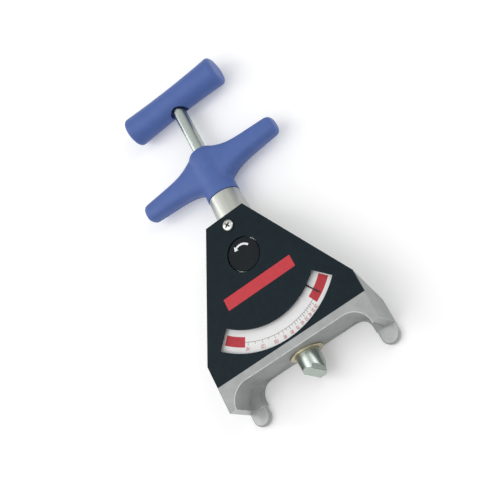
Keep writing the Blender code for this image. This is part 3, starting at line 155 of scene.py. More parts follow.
# Flats milled on the hook's end: a point (x, height, z from the axis) and the way each faces
HOOK_FLATS = (
    ((0, -0.02408, 0), (-0.493, -1.0, 0.637)),
    ((-0.0077, -0.0197, 0.0036), (-0.70, -0.71, -0.08)),
    ((0.00633, -0.0220, -0.00218), (0.850, -0.376, -0.376)),
    ((0.00312, -0.0262, -0.00108), (0.092, -0.896, -0.435)),
)
# The belt seat: its near end on the hook's front, its length, and its outline up and out
SEAT_START = (0.0006, -0.0199, 0.0084)
SEAT_LENGTH = 0.0100
SEAT_ALONG = (0.675, -0.557, -0.484)
SEAT_OUTLINE = (
    (-0.0001, 0.0040), (-0.0001, -0.0036), (0.0009, -0.0036), (0.0010, -0.0016), (0.0056, 0.0002), (0.0056, 0.0040),
)

# Dial print: radii from the pivot, angles from straight down towards +X
SCALE_RADIUS = 0.0590
TICK_OUTER = 0.0616
SHORT_TICK_DROP = 0.0010
DIAL_EDGE, POINTER_EDGE = 0.00010, 0.00008
NUMBER_RADIUS = 0.0624
BLOCK_INNER = 0.0556
BLOCK_OUTER = 0.0626
LEFT_BLOCK = (-43.6, -29.5)
RIGHT_BLOCK = (26.5, 43.6)
SCALE_MARKS = (
    (20, 24.2), (30, 21.4), (40, 18.3), (50, 15.0), (60, 11.5), (70, 7.6),
    (80, 3.2), (90, -2.0), (100, -8.2), (120, -17.2), (140, -27.4),
)
NUMBER_SQUEEZE = 0.60
PRINT_LIFT = 0.00002
PRINT_THICKNESS = 0.00003
PRINT_RISE = Vector((0, 0, PRINT_THICKNESS))

# Camera fitted to the photograph
CAMERA_PLACE = (0.22420, -0.30615, 0.67700)
CAMERA_RIGHT = (0.777, -0.429, -0.461)
CAMERA_BACK = (0.300, -0.392, 0.870)
CAMERA_LENS = 82.24
SENSOR_WIDTH = 36.0

# Floor and lamps; a lamp has its place, its width and its length
FLOOR_REACH, FLOOR_DROP = 2.5, 0.0002
KEY_LIGHT = ((-0.55, -0.10, 1.15), 1.1, 1.1)
LEFT_STRIP = ((-0.75, 0.45, 0.55), 0.22, 1.1)
RIGHT_STRIP = ((0.85, 0.15, 0.50), 0.22, 1.1)


class GAUGE_PG_finish(bpy.types.PropertyGroup):
    """Colours of the gauge's own pieces"""

    casting: bpy.props.FloatVectorProperty(
        name="Casting", description="Bead-blasted aluminium of the body", subtype="COLOR",
        size=3, min=0, max=1, default=(0.335, 0.350, 0.345),
    )
    handle: bpy.props.FloatVectorProperty(
        name="Handle blue", description="Moulded plastic of both handles", subtype="COLOR",
        size=3, min=0, max=1, default=(0.078, 0.137, 0.378),
    )
    plate: bpy.props.FloatVectorProperty(
        name="Plate black", description="Paint of the front plate", subtype="COLOR",
        size=3, min=0, max=1, default=(0.0065, 0.0135, 0.0180),
    )
    print_red: bpy.props.FloatVectorProperty(
        name="Print red", description="Ink of the label and of the dial's two blocks", subtype="COLOR",
        size=3, min=0, max=1, default=(0.560, 0.050, 0.064),
    )
    dial: bpy.props.FloatVectorProperty(
        name="Dial white", description="Enamel of the scale plate", subtype="COLOR",
        size=3, min=0, max=1, default=(0.88, 0.88, 0.87),
    )


class GAUGE_PG_sizes(bpy.types.PropertyGroup):
    """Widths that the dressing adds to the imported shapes"""

    casting_edge: bpy.props.FloatProperty(
        name="Casting edge", description="Width of the casting's eased edges",
        default=0.0005, min=0.0001, max=0.0015, subtype="DISTANCE", unit="LENGTH",
    )
    machined_edge: bpy.props.FloatProperty(
        name="Machined edge", description="Width of the broken edges on turned and cut steel",
        default=0.0003, min=0.00005, max=0.0010, subtype="DISTANCE", unit="LENGTH",
    )
    tick_width: bpy.props.FloatProperty(
        name="Tick width", description="Width of a scale mark",
        default=0.00028, min=0.0001, max=0.0010, subtype="DISTANCE", unit="LENGTH",
    )
    number_height: bpy.props.FloatProperty(
        name="Number height", description="Height of the dial's numbers",
        default=0.0038, min=0.0010, max=0.0050, subtype="DISTANCE", unit="LENGTH",
    )
    moulding_grid: bpy.props.FloatProperty(
        name="Moulding grid", description="Grid that blends the cross handle's arms and hub into one form",
        default=0.0007, min=0.0004, max=0.0020, subtype="DISTANCE", unit="LENGTH",
    )


class GAUGE_PG_studio(bpy.types.PropertyGroup):
    """Light and floor"""

    sky: bpy.props.FloatProperty(
        name="Sky", description="Strength of the even light from all round", default=0.62, min=0, max=2,
    )
    key: bpy.props.FloatProperty(
        name="Key light", description="Power of the large lamp over the gauge",
        default=5.2, min=0, max=100, unit="POWER",
    )
    strip: bpy.props.FloatProperty(
        name="Strip lights", description="Power of the two narrow lamps that draw streaks on the metal",
        default=2.0, min=0, max=100, unit="POWER",
    )
    floor: bpy.props.FloatVectorProperty(
        name="Floor", description="Colour of the floor", subtype="COLOR",
        size=3, min=0, max=1, default=(0.90, 0.90, 0.90),
    )


def add_node(tree, kind, inputs=None, **settings):
    """Adds a node, sets its options, and fills each input with a value or a link."""
    made = tree.nodes.new(kind)
    for option, value in settings.items():
        setattr(made, option, value)
    for socket, value in (inputs or {}).items():
        if isinstance(value, bpy.types.NodeSocket):
            tree.links.new(value, made.inputs[socket])
        else:
            made.inputs[socket].default_value = value
    return made


def effect_group(name, inputs, outputs):
    """An empty node group with named sockets; returns it with its two end nodes."""
    group = bpy.data.node_groups.new(name, "ShaderNodeTree")
    for label, kind in inputs:
        group.interface.new_socket(name=label, in_out="INPUT", socket_type=kind)
    for label in outputs:
        group.interface.new_socket(name=label, in_out="OUTPUT", socket_type="NodeSocketFloat")
    given = group.nodes.new("NodeGroupInput")
    result = group.nodes.new("NodeGroupOutput")
    return group, given.outputs, result.inputs


def grain_group():
    """Fine bumps over slow waves, for castings, paint and moulded skins."""
    sockets = (("Vector", "NodeSocketVector"), ("Scale", "NodeSocketFloat"), ("Wave Share", "NodeSocketFloat"))
    group, given, result = effect_group("Surface Grain", sockets, ("Height", "Tone"))
    fine = add_node(group, "ShaderNodeTexNoise", {
        "Vector": given["Vector"], "Scale": given["Scale"], "Detail": 4.0, "Roughness": 0.65,
    })
    wide = add_node(group, "ShaderNodeMath", {0: given["Scale"], 1: 0.06}, operation="MULTIPLY")
    slow = add_node(group, "ShaderNodeTexNoise", {
        "Vector": given["Vector"], "Scale": wide.outputs[0], "Detail": 3.0, "Roughness": 0.5,
    })
    mixed = add_node(group, "ShaderNodeMix", {
        "Factor": given["Wave Share"], "A": fine.outputs["Fac"], "B": slow.outputs["Fac"],
    })
    group.links.new(mixed.outputs["Result"], result["Height"])
    tone = add_node(group, "ShaderNodeMapRange", {
        "Value": slow.outputs["Fac"], "From Min": 0.3, "From Max": 0.7,
    })
    group.links.new(tone.outputs["Result"], result["Tone"])
    return group


def streak_group():
    """Long thin marks that run along Y, as drawing and grinding leave on bar."""
    sockets = (("Vector", "NodeSocketVector"), ("Across", "NodeSocketFloat"), ("Along", "NodeSocketFloat"))
    group, given, result = effect_group("Drawn Streaks", sockets, ("Height", "Tone"))
    scale = add_node(group, "ShaderNodeCombineXYZ", {
        "X": given["Across"], "Y": given["Along"], "Z": given["Across"],
    })
    stretched = add_node(group, "ShaderNodeVectorMath", {
        0: given["Vector"], 1: scale.outputs[0],
    }, operation="MULTIPLY")
    marks = add_node(group, "ShaderNodeTexNoise", {
        "Vector": stretched.outputs[0], "Scale": 1.0, "Detail": 5.0, "Roughness": 0.7,
    })
    group.links.new(marks.outputs["Fac"], result["Height"])
    tone = add_node(group, "ShaderNodeMapRange", {
        "Value": marks.outputs["Fac"], "From Min": 0.32, "From Max": 0.68,
    })
    group.links.new(tone.outputs["Result"], result["Tone"])
    return group


def scuff_group():
    """Scattered small rubs and specks, gathered in patches."""
    sockets = (("Vector", "NodeSocketVector"), ("Scale", "NodeSocketFloat"), ("Threshold", "NodeSocketFloat"))
    group, given, result = effect_group("Scuffs", sockets, ("Mask",))
    specks = add_node(group, "ShaderNodeTexNoise", {
        "Vector": given["Vector"], "Scale": given["Scale"], "Detail": 2.0, "Distortion": 0.6,
    })
    wide = add_node(group, "ShaderNodeMath", {0: given["Scale"], 1: 0.08}, operation="MULTIPLY")
    patches = add_node(group, "ShaderNodeTexNoise", {
        "Vector": given["Vector"], "Scale": wide.outputs[0], "Detail": 1.0,
    })
    joined = add_node(group, "ShaderNodeMath", {
        0: specks.outputs["Fac"], 1: patches.outputs["Fac"],
    }, operation="MULTIPLY")
    top = add_node(group, "ShaderNodeMath", {0: given["Threshold"], 1: 0.05}, operation="ADD")
    mask = add_node(group, "ShaderNodeMapRange", {
        "Value": joined.outputs[0], "From Min": given["Threshold"], "From Max": top.outputs[0],
    })
    group.links.new(mask.outputs["Result"], result["Mask"])
    return group


def rub_group():
    """Breaks the mark that an eased edge carries into a broken line, the mask of a painted highlight that also stands
    for wear.
    """
    sockets = (("Edge", "NodeSocketFloat"), ("Vector", "NodeSocketVector"), ("Scale", "NodeSocketFloat"))
    group, given, result = effect_group("Edge Highlight And Wear", sockets, ("Mask",))
    breaks = add_node(group, "ShaderNodeTexNoise", {
        "Vector": given["Vector"], "Scale": given["Scale"], "Detail": 3.0,
    })
    spread = add_node(group, "ShaderNodeMapRange", {
        "Value": breaks.outputs["Fac"], "From Min": 0.25, "From Max": 0.55, "To Min": 0.35,
    })
    mask = add_node(group, "ShaderNodeMath", {
        0: given["Edge"], 1: spread.outputs["Result"],
    }, operation="MULTIPLY")
    group.links.new(mask.outputs[0], result["Mask"])
    return group


EFFECTS = {
    "Surface Grain": grain_group, "Drawn Streaks": streak_group, "Scuffs": scuff_group, "Edge Highlight And Wear": rub_group,
}


def use_effect(tree, name, inputs):
    """Places an effect group in a material, building the group the first time."""
    group = bpy.data.node_groups.get(name) or EFFECTS[name]()
    made = tree.nodes.new("ShaderNodeGroup")
    made.node_tree = group
    for socket, value in inputs.items():
        if isinstance(value, bpy.types.NodeSocket):
            tree.links.new(value, made.inputs[socket])
        else:
            made.inputs[socket].default_value = value
    return made.outputs


def mix_colour(tree, factor, low, high):
    """One colour over another; each is a socket or an RGB triple."""
    made = tree.nodes.new("ShaderNodeMix")
    made.data_type = "RGBA"
    for socket, value in (("Factor", factor), ("A", low), ("B", high)):
        kind = "VALUE" if socket == "Factor" else "RGBA"
        target = next(s for s in made.inputs if s.name == socket and s.type == kind)
        if isinstance(value, bpy.types.NodeSocket):
            tree.links.new(value, target)
        else:
            target.default_value = value if socket == "Factor" else (*value[:3], 1)
    return next(s for s in made.outputs if s.type == "RGBA")


def shade(colour, amount):
    """A colour made lighter or darker."""
    return tuple(min(1.0, channel * amount) for channel in colour)


# tone is how far the second colour departs from the first. skin is "grain" or "streaks", and
# pattern holds its two scales and its bump depth in metres. scuffs holds a scale, a threshold
# and how far a scuff's colour departs. edge is how far the eased edges' colour departs, a
# painted highlight broken up like wear.
Recipe = namedtuple("Recipe", "metallic rough tone skin pattern scuffs edge specular")
RECIPES = {
    "blasted_casting": Recipe(0.35, (0.44, 0.58), 0.88, "grain", (2600, 0.25, 7e-05), (900, 0.42, 1.15), 1.8, 0.4),
    "milled_feet": Recipe(0.6, (0.34, 0.46), 0.9, "grain", (2600, 0.35, 4e-05), (900, 0.4, 1.12), 1.3, 0.5),
    "tongue_casting": Recipe(0.5, (0.36, 0.5), 0.8, "grain", (1500, 0.55, 9e-05), (900, 0.42, 1.15), 1.3, 0.5),
    "satin_collar": Recipe(1.0, (0.3, 0.46), 0.8, "streaks", (900, 20, 1e-05), (1300, 0.42, 0.88), 1.15, 0.5),
    "moulded_blue": Recipe(0.0, (0.4, 0.52), 0.92, "grain", (1500, 0.45, 3e-05), (1100, 0.44, 1.25), 1.7, 0.28),
    "plate_paint": Recipe(0.0, (0.42, 0.52), 1.25, "grain", (3500, 0.1, 1e-05), (1200, 0.45, 1.7), 3.0, 0.09),
    "knob_plastic": Recipe(0.0, (0.38, 0.5), 1.3, "grain", (3000, 0.2, 1e-05), (1400, 0.44, 1.6), 1.6, 0.1),
    "dial_enamel": Recipe(0.0, (0.38, 0.46), 0.985, "grain", (1200, 0.5, 2e-06), (1000, 0.46, 0.96), 1.0, 0.3),
    "red_ink": Recipe(0.0, (0.42, 0.54), 0.9, "grain", (5200, 0.2, 6e-06), (2400, 0.44, 1.1), 1.0, 0.15),
    "scale_ink": Recipe(0.0, (0.45, 0.55), 1.2, "grain", (6000, 0.2, 4e-06), (3000, 0.44, 1.3), 1.0, 0.2),
    "white_ink": Recipe(0.0, (0.42, 0.52), 0.93, "grain", (5000, 0.2, 4e-06), (2600, 0.44, 0.9), 1.0, 0.3),
    "pointer_lacquer": Recipe(0.1, (0.35, 0.45), 1.3, "grain", (4000, 0.2, 4e-06), (2000, 0.44, 1.6), 2.0, 0.3),
    "bright_plate": Recipe(1.0, (0.24, 0.4), 0.84, "streaks", (1500, 18, 1.2e-05), (1500, 0.42, 0.86), 1.2, 0.5),
    "drawn_rod": Recipe(1.0, (0.2, 0.34), 0.78, "streaks", (1700, 14, 1.4e-05), (1500, 0.43, 0.84), 1.25, 0.5),
    "zinc_plate": Recipe(1.0, (0.22, 0.36), 0.82, "streaks", (1300, 30, 1.2e-05), (1300, 0.41, 0.84), 1.3, 0.5),
    "turned_brass": Recipe(1.0, (0.24, 0.4), 0.8, "streaks", (60, 2500, 1e-05), (1300, 0.4, 0.75), 1.25, 0.5),
    "dark_spring": Recipe(1.0, (0.3, 0.42), 0.8, "streaks", (1500, 60, 1e-05), (1500, 0.42, 0.8), 1.2, 0.5),
    "recess_shade": Recipe(0.8, (0.45, 0.6), 0.8, "grain", (4000, 0.3, 1e-05), (2500, 0.42, 1.3), 1.2, 0.2),
    "red_fibre": Recipe(0.0, (0.6, 0.75), 0.8, "grain", (2500, 0.3, 3e-05), (1200, 0.42, 1.2), 1.2, 0.3),
}

OWN_COLOURS = {
    "milled_feet": (0.46, 0.48, 0.47),
    "tongue_casting": (0.42, 0.43, 0.425),
    "satin_collar": (0.56, 0.575, 0.53),
    "bright_plate": (0.62, 0.635, 0.59),
    "drawn_rod": (0.47, 0.52, 0.49),
    "zinc_plate": (0.46, 0.51, 0.47),
    "turned_brass": (0.66, 0.59, 0.40),
    "dark_spring": (0.30, 0.30, 0.32),
    "recess_shade": (0.05, 0.055, 0.055),
    "red_fibre": (0.30, 0.12, 0.06),
    "pointer_lacquer": (0.014, 0.015, 0.016),
    "knob_plastic": (0.0065, 0.0095, 0.0115),
    "white_ink": (0.80, 0.82, 0.82),
    "scale_ink": (0.20, 0.16, 0.16),
}


def finish(name, colour=None):
    """A finish built from its recipe, made once under its own name."""
    found = bpy.data.materials.get(name)
    if found:
        return found
    recipe = RECIPES[name]
    colour = tuple(colour or OWN_COLOURS[name])
    material = bpy.data.materials.new(name)
    material.use_nodes = True
    material.diffuse_color = (*colour, 1)
    tree = material.node_tree
    shader = tree.nodes["Principled BSDF"]
    place = tree.nodes.new("ShaderNodeTexCoord").outputs["Object"]
    if recipe.skin == "grain":
        scale, waves, depth = recipe.pattern
        skin = use_effect(tree, "Surface Grain", {"Vector": place, "Scale": scale, "Wave Share": waves})
    else:
        across, along, depth = recipe.pattern
        skin = use_effect(tree, "Drawn Streaks", {"Vector": place, "Across": across, "Along": along})
    toned = mix_colour(tree, skin["Tone"], colour, shade(colour, recipe.tone))
    size, threshold, gain = recipe.scuffs
    scuffs = use_effect(tree, "Scuffs", {"Vector": place, "Scale": size, "Threshold": threshold})
    scuffed = mix_colour(tree, scuffs["Mask"], toned, shade(colour, gain))
    # The eased edges' faces are lightened by recipe.edge: a painted highlight, broken up like wear.
    edge = add_node(tree, "ShaderNodeAttribute", attribute_name="edge")
    edge_mask_highlight_and_wear = use_effect(tree, "Edge Highlight And Wear", {"Edge": edge.outputs["Fac"], "Vector": place, "Scale": 350.0})
    colour_with_edge_highlight_and_wear = mix_colour(tree, edge_mask_highlight_and_wear["Mask"], scuffed, shade(colour, recipe.edge))
    tree.links.new(colour_with_edge_highlight_and_wear, shader.inputs["Base Color"])
    low, high = recipe.rough
    rough = add_node(tree, "ShaderNodeMapRange", {
        "Value": skin["Height"], "From Min": 0.3, "From Max": 0.7, "To Min": low, "To Max": high,
    })
    tree.links.new(rough.outputs["Result"], shader.inputs["Roughness"])
    bump = add_node(tree, "ShaderNodeBump", {"Strength": 1.0, "Distance": depth, "Height": skin["Height"]})
    tree.links.new(bump.outputs["Normal"], shader.inputs["Normal"])
    shader.inputs["Metallic"].default_value = recipe.metallic
    shader.inputs["Specular IOR Level"].default_value = recipe.specular
    return material


def window_plastic():
    """Clear plastic: mostly see-through, with more gloss at a low angle."""
    found = bpy.data.materials.get("window_plastic")
    if found:
        return found
    material = bpy.data.materials.new("window_plastic")
    material.use_nodes = True
    tree = material.node_tree
    shader = tree.nodes["Principled BSDF"]
    shader.inputs["Base Color"].default_value = (0.80, 0.84, 0.86, 1)
    place = tree.nodes.new("ShaderNodeTexCoord").outputs["Object"]
    haze = use_effect(tree, "Surface Grain", {"Vector": place, "Scale": 1800.0, "Wave Share": 0.5})
    rough = add_node(tree, "ShaderNodeMapRange", {
        "Value": haze["Height"], "From Min": 0.3, "From Max": 0.7, "To Min": 0.04, "To Max": 0.09,
    })
    tree.links.new(rough.outputs["Result"], shader.inputs["Roughness"])
    gloss = add_node(tree, "ShaderNodeFresnel", {"IOR": 1.49})
    alpha = add_node(tree, "ShaderNodeMapRange", {
        "Value": gloss.outputs["Fac"], "From Min": 0.035, "To Min": 0.0, "To Max": 0.4,
    })
    tree.links.new(alpha.outputs["Result"], shader.inputs["Alpha"])
    return material


def plain_object(name, bm, material=None):
    """Links a new object that holds a bmesh."""
    mesh = bpy.data.meshes.new(name)
    bm.to_mesh(mesh)
    bm.free()
    made = bpy.data.objects.new(name, mesh)
    bpy.context.scene.collection.objects.link(made)
    if material:
        mesh.materials.append(material)
    return made


def tidy(bm):
    """Merges doubles and turns every face outwards."""
    bmesh.ops.remove_doubles(bm, verts=bm.verts, dist=MERGE)
    bmesh.ops.recalc_face_normals(bm, faces=bm.faces)
    return bm


def settle(bm):
    """Moves a shape from the plate's lower edge to the frame's origin."""
    bmesh.ops.translate(bm, verts=bm.verts, vec=Vector((0, PLATE_LOW_Y, 0)))
    return bm


def add_piece(name, bm, material, body, nodes=(), hard=True):
    """Makes a finished piece, smooth but for its sharp edges, riding on its body."""
    made = plain_object(name, bm, material)
    made.data.shade_smooth()
    made.data.set_sharp_from_angle(angle=SMOOTH_ANGLE)
    if hard:
        weighted = made.modifiers.new("flat_faces", "WEIGHTED_NORMAL")
        weighted.keep_sharp = True
        weighted.weight = 100
    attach(made, body)
    if nodes:
        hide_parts(*nodes)
    return made


def taken_mesh(obj):
    """The mesh of a work object as a bmesh; the object goes."""
    bm = bmesh.new()
    bm.from_mesh(obj.data)
    bpy.data.objects.remove(obj, do_unlink=True)
    return bm


def thickened(bm, faces, lift):
    """Raises flat faces by a vector, walls included."""
    grown = bmesh.ops.extrude_face_region(bm, geom=faces)
    raised = [part for part in grown["geom"] if isinstance(part, bmesh.types.BMVert)]
    bmesh.ops.translate(bm, verts=raised, vec=lift)
    return bm


def ring_edges(verts):
    """The edges of a ring of vertices, each once and in order."""
    return list(dict.fromkeys(edge for vert in verts for edge in vert.link_edges))


def bake_modifiers(obj):
    """Keeps what the modifiers make as the object's own mesh."""
    graph = bpy.context.evaluated_depsgraph_get()
    made = bpy.data.meshes.new_from_object(obj.evaluated_get(graph), depsgraph=graph)
    obj.modifiers.clear()
    old = obj.data
    obj.data = made
    bpy.data.meshes.remove(old)
    return obj


def subtract(obj, bm):
    """Cuts a closed shape out of an object."""
    tool = plain_object(f"{obj.name}_cutter", tidy(bm))
    cutter = obj.modifiers.new("cut", "BOOLEAN")
    cutter.operation = "DIFFERENCE"
    cutter.solver = "EXACT"
    cutter.object = tool
    bake_modifiers(obj)
    bpy.data.objects.remove(tool, do_unlink=True)


def sliced(bm, point, facing):
    """Takes off what lies past a plane and closes the cut."""
    made = bmesh.ops.bisect_plane(
        bm, geom=bm.verts[:] + bm.edges[:] + bm.faces[:], plane_co=point, plane_no=facing, clear_outer=True,
    )
    rim = [part for part in made["geom_cut"] if isinstance(part, bmesh.types.BMEdge)]
    bmesh.ops.holes_fill(bm, edges=rim, sides=0)
    return bm


def turned(profile, sides):
    """Spins (radius, height) points about Z into a closed shape."""
    bm = bmesh.new()
    verts = [bm.verts.new((radius, 0, height)) for radius, height in profile]
    edges = [bm.edges.new(pair) for pair in zip(verts, verts[1:])]
    bmesh.ops.spin(
        bm, geom=verts + edges, cent=(0, 0, 0), axis=(0, 0, 1),
        angle=math.tau, steps=sides, use_merge=True,
    )
    return tidy(bm)


def laid_along(bm, axis, y=0.0):
    """Turns a shape from Z onto the plunger's line, or across it, at a height y."""
    turn = {"X": Matrix.Rotation(math.radians(90), 4, "Y"), "Y": Matrix.Rotation(math.radians(-90), 4, "X")}[axis]
    bmesh.ops.transform(bm, matrix=turn, verts=bm.verts)
    bmesh.ops.translate(bm, verts=bm.verts, vec=Vector((0, y, AXIS_Z)))
    return bm


def bar(radius, low, high, sides=64):
    """A plain round cutter on the plunger's line."""
    return laid_along(turned(((0, low), (radius, low), (radius, high), (0, high)), sides), "Y")


def band(inner, outer, start, end, low_z, high_z, steps):
    """A flat arc about the pivot, spun from one small block; angles in degrees."""
    bm = bmesh.new()
    corners = [(radius, z) for radius, z in ((inner, low_z), (outer, low_z), (outer, high_z), (inner, high_z))]
    turn = math.radians(start) - math.pi / 2
    verts = [bm.verts.new((r * math.cos(turn), PIVOT_Y + r * math.sin(turn), z)) for r, z in corners]
    face = bm.faces.new(verts)
    bmesh.ops.spin(
        bm, geom=[face, *face.edges, *face.verts], cent=(0, PIVOT_Y, 0), axis=(0, 0, 1),
        angle=math.radians(end - start), steps=steps, use_duplicate=False,
    )
    return bm


def close_ends(bm):
    """Fills the open ends that a part spin leaves and turns the faces out."""
    bmesh.ops.remove_doubles(bm, verts=bm.verts, dist=MERGE)
    bmesh.ops.holes_fill(bm, edges=[edge for edge in bm.edges if edge.is_boundary], sides=0)
    bmesh.ops.recalc_face_normals(bm, faces=bm.faces)
    return bm


def node_copy(node):
    """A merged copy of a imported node's mesh, with its flat faces made whole."""
    bm = bmesh.new()
    bm.from_mesh(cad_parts[node].data)
    bmesh.ops.remove_doubles(bm, verts=bm.verts, dist=NODE_MERGE)
    bmesh.ops.dissolve_limit(bm, angle_limit=FLAT_ANGLE, verts=bm.verts, edges=bm.edges)
    return bm


def is_sharp(edge):
    """True where two faces meet at more than the sharp angle."""
    return len(edge.link_faces) == 2 and edge.calc_face_angle(0.0) > SHARP_ANGLE


def ease_edges(bm, width, chosen=is_sharp):
    """Bevels the chosen edges and marks the new faces, which the finishes lighten as a painted highlight broken up like
    wear.
    """
    mark = bm.faces.layers.float.new("edge")
    made = bmesh.ops.bevel(
        bm, geom=[edge for edge in bm.edges if chosen(edge)], offset=width, offset_type="OFFSET",
        affect="EDGES", segments=2, profile=0.5, material=-1, clamp_overlap=True,
    )
    for face in made["faces"]:
        face[mark] = 1.0
    return bm


def dressed_copy(name, node, material, body, width):
    """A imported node's shape with eased edges and a finish, standing for the node."""
    bm = node_copy(node)
    ease_edges(bm, width)
    return add_piece(name, bm, material, body, (node,))


class GAUGE_OT_housing(bpy.types.Operator):
    """Dresses the cast body"""

    bl_idname = "gauge.housing"
    bl_label = "Cast body"

    def execute(self, context):
        material = finish("blasted_casting", context.scene.gauge_finish.casting)
        width = context.scene.gauge_sizes.casting_edge
        bm = node_copy("housing")
        ease_edges(bm, width, self.is_foot_edge)
        for face in bm.faces:
            height = face.calc_center_median().y - PLATE_LOW_Y
            if height < FOOT_Y + FOOT_TOLERANCE:
                face.material_index = 1 if height > FOOT_Y - FOOT_TOLERANCE else 2
        body = add_piece("cast_body", bm, material, "gauge_body", ("housing",))
        body.data.materials.append(finish("milled_feet"))
        body.data.materials.append(finish("tongue_casting"))
        self.make_beads(material, width)
        return {"FINISHED"}

    def is_foot_edge(self, edge):
        """True for a sharp edge of the feet or the tongues that is long enough to ease."""
        if not is_sharp(edge) or edge.calc_length() < SHORTEST_EASED_EDGE:
            return False
        return max(vert.co.y for vert in edge.verts) - PLATE_LOW_Y < FOOT_Y + FOOT_TOLERANCE

    def make_beads(self, material, width):
        """The rounded edge that runs round the front of the arch and down both legs."""
        reach = FRONT_INNER_X - FRONT_ROUND
        turns = [math.radians(turn) for turn in range(90, -1, -6)]
        right = [
            (reach + FRONT_ROUND * math.cos(turn), FRONT_ARCH_Y - FRONT_ROUND * (1 - math.sin(turn)))
            for turn in turns
        ]
        right.append((FRONT_INNER_X, FOOT_Y))
        path = [(-x, y) for x, y in reversed(right)] + right
        bead = bmesh.new()
        rings = []
        for place, (x, y) in enumerate(path):
            before, after = path[max(place - 1, 0)], path[min(place + 1, len(path) - 1)]
            along = Vector((after[0] - before[0], after[1] - before[1], 0)).normalized()
            across = Vector((0, 0, 1)).cross(along)
            ring = bmesh.ops.create_circle(bead, cap_ends=False, radius=width * BEAD_RADIUS_SHARE, segments=12)["verts"]
            centre = Vector((x, y, FACE_Z - width * BEAD_INSET_SHARE)) + across * width * BEAD_INSET_SHARE
            for vert in ring:
                vert.co = centre + across * vert.co.x + Vector((0, 0, vert.co.y))
            rings.append(ring_edges(ring))
        for low, high in zip(rings, rings[1:]):
            bmesh.ops.bridge_loops(bead, edges=low + high)
        bmesh.ops.holes_fill(bead, edges=[edge for edge in bead.edges if edge.is_boundary], sides=0)
        # The whole bead is marked, so the finish lightens it along its length: a painted highlight, broken up like
        # wear.
        mark = bead.faces.layers.float.new("edge")
        for face in bead.faces:
            face[mark] = 1.0
        add_piece("arch_bead", settle(tidy(bead)), material, "gauge_body", hard=False)


class GAUGE_OT_face(bpy.types.Operator):
    """Dresses the front plate, its label, its screw and the window"""

    bl_idname = "gauge.face"
    bl_label = "Front plate"

    def execute(self, context):
        colours = context.scene.gauge_finish
        paint = finish("plate_paint", colours.plate)
        dressed_copy("front_plate", "face_plate", paint, "gauge_body", PLATE_EDGE)
        label = bmesh.new()
        bmesh.ops.create_grid(label, x_segments=1, y_segments=1, size=0.5)
        bmesh.ops.scale(label, vec=(LABEL_LENGTH, LABEL_HEIGHT, 1), verts=label.verts)
        bmesh.ops.bevel(
            label, geom=label.verts[:], offset=LABEL_CORNER, offset_type="OFFSET", affect="VERTICES",
            segments=4, profile=0.5, material=-1,
        )
        thickened(label, label.faces[:], PRINT_RISE)
        bmesh.ops.translate(label, verts=label.verts, vec=Vector((*LABEL_CENTRE, FACE_Z + PRINT_LIFT)))
        red = finish("red_ink", colours.print_red)
        add_piece("red_label", settle(tidy(label)), red, "gauge_body", hard=False)
        self.make_screw()
        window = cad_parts["dial_window"]
        for slot in window.material_slots:
            slot.material = window_plastic()
        return {"FINISHED"}

    def make_screw(self):
        """A bright pan head with a crossed recess."""
        centre_x = (SCREW_LOW[0] + SCREW_HIGH[0]) / 2
        centre_y = (SCREW_LOW[1] + SCREW_HIGH[1]) / 2
        radius = (SCREW_HIGH[0] - SCREW_LOW[0]) / 2
        top = SCREW_HIGH[2]
        seat = FACE_Z + ROD_CLEARANCE
        height = top - seat
        end = seat - SCREW_SHANK_LENGTH
        profile = [(0, end), (SCREW_SHANK_RADIUS, end), (SCREW_SHANK_RADIUS, seat), (radius, seat)]
        for step in range(9):
            angle = math.pi / 2 * step / 8
            rise = SCREW_WALL_SHARE + (1 - SCREW_WALL_SHARE) * math.sin(angle)
            profile.append((radius * math.cos(angle) ** SCREW_DOME_POWER, seat + height * rise))
        head = turned(profile, 56)
        bmesh.ops.translate(head, verts=head.verts, vec=Vector((centre_x, centre_y, 0)))
        screw = plain_object("plate_screw_blank", head)
        for turn in (0, 90):
            slot = bmesh.new()
            bmesh.ops.create_cube(slot, size=1)
            bmesh.ops.scale(slot, vec=SCREW_SLOT, verts=slot.verts)
            low = [vert for vert in slot.verts if vert.co.z < 0]
            bmesh.ops.scale(slot, vec=SCREW_SLOT_TAPER, verts=low)
            spin = Matrix.Rotation(math.radians(turn + SCREW_SLOT_TURN), 3, "Z")
            bmesh.ops.rotate(slot, cent=(0, 0, 0), matrix=spin, verts=slot.verts)
            bmesh.ops.translate(slot, verts=slot.verts, vec=Vector((centre_x, centre_y, top)))
            subtract(screw, slot)
        bm = taken_mesh(screw)
        bmesh.ops.dissolve_limit(bm, angle_limit=FLAT_ANGLE, verts=bm.verts, edges=bm.edges)
        tidy(bm)
        for face in bm.faces:
            middle = face.calc_center_median() - Vector((centre_x, centre_y, top))
            reach = math.hypot(middle.x, middle.y)
            steep_or_deep = face.normal.z < STEEP_NORMAL or middle.z < -RECESS_FLOOR
            below_rim = -RECESS_BOTTOM < middle.z < -RECESS_RIM
            if reach < SCREW_RECESS_RADIUS and below_rim and steep_or_deep:
                face.material_index = 1
        screw = add_piece("plate_screw", bm, finish("bright_plate"), "gauge_body", ("face_screw",))
        screw.data.materials.append(finish("recess_shade"))


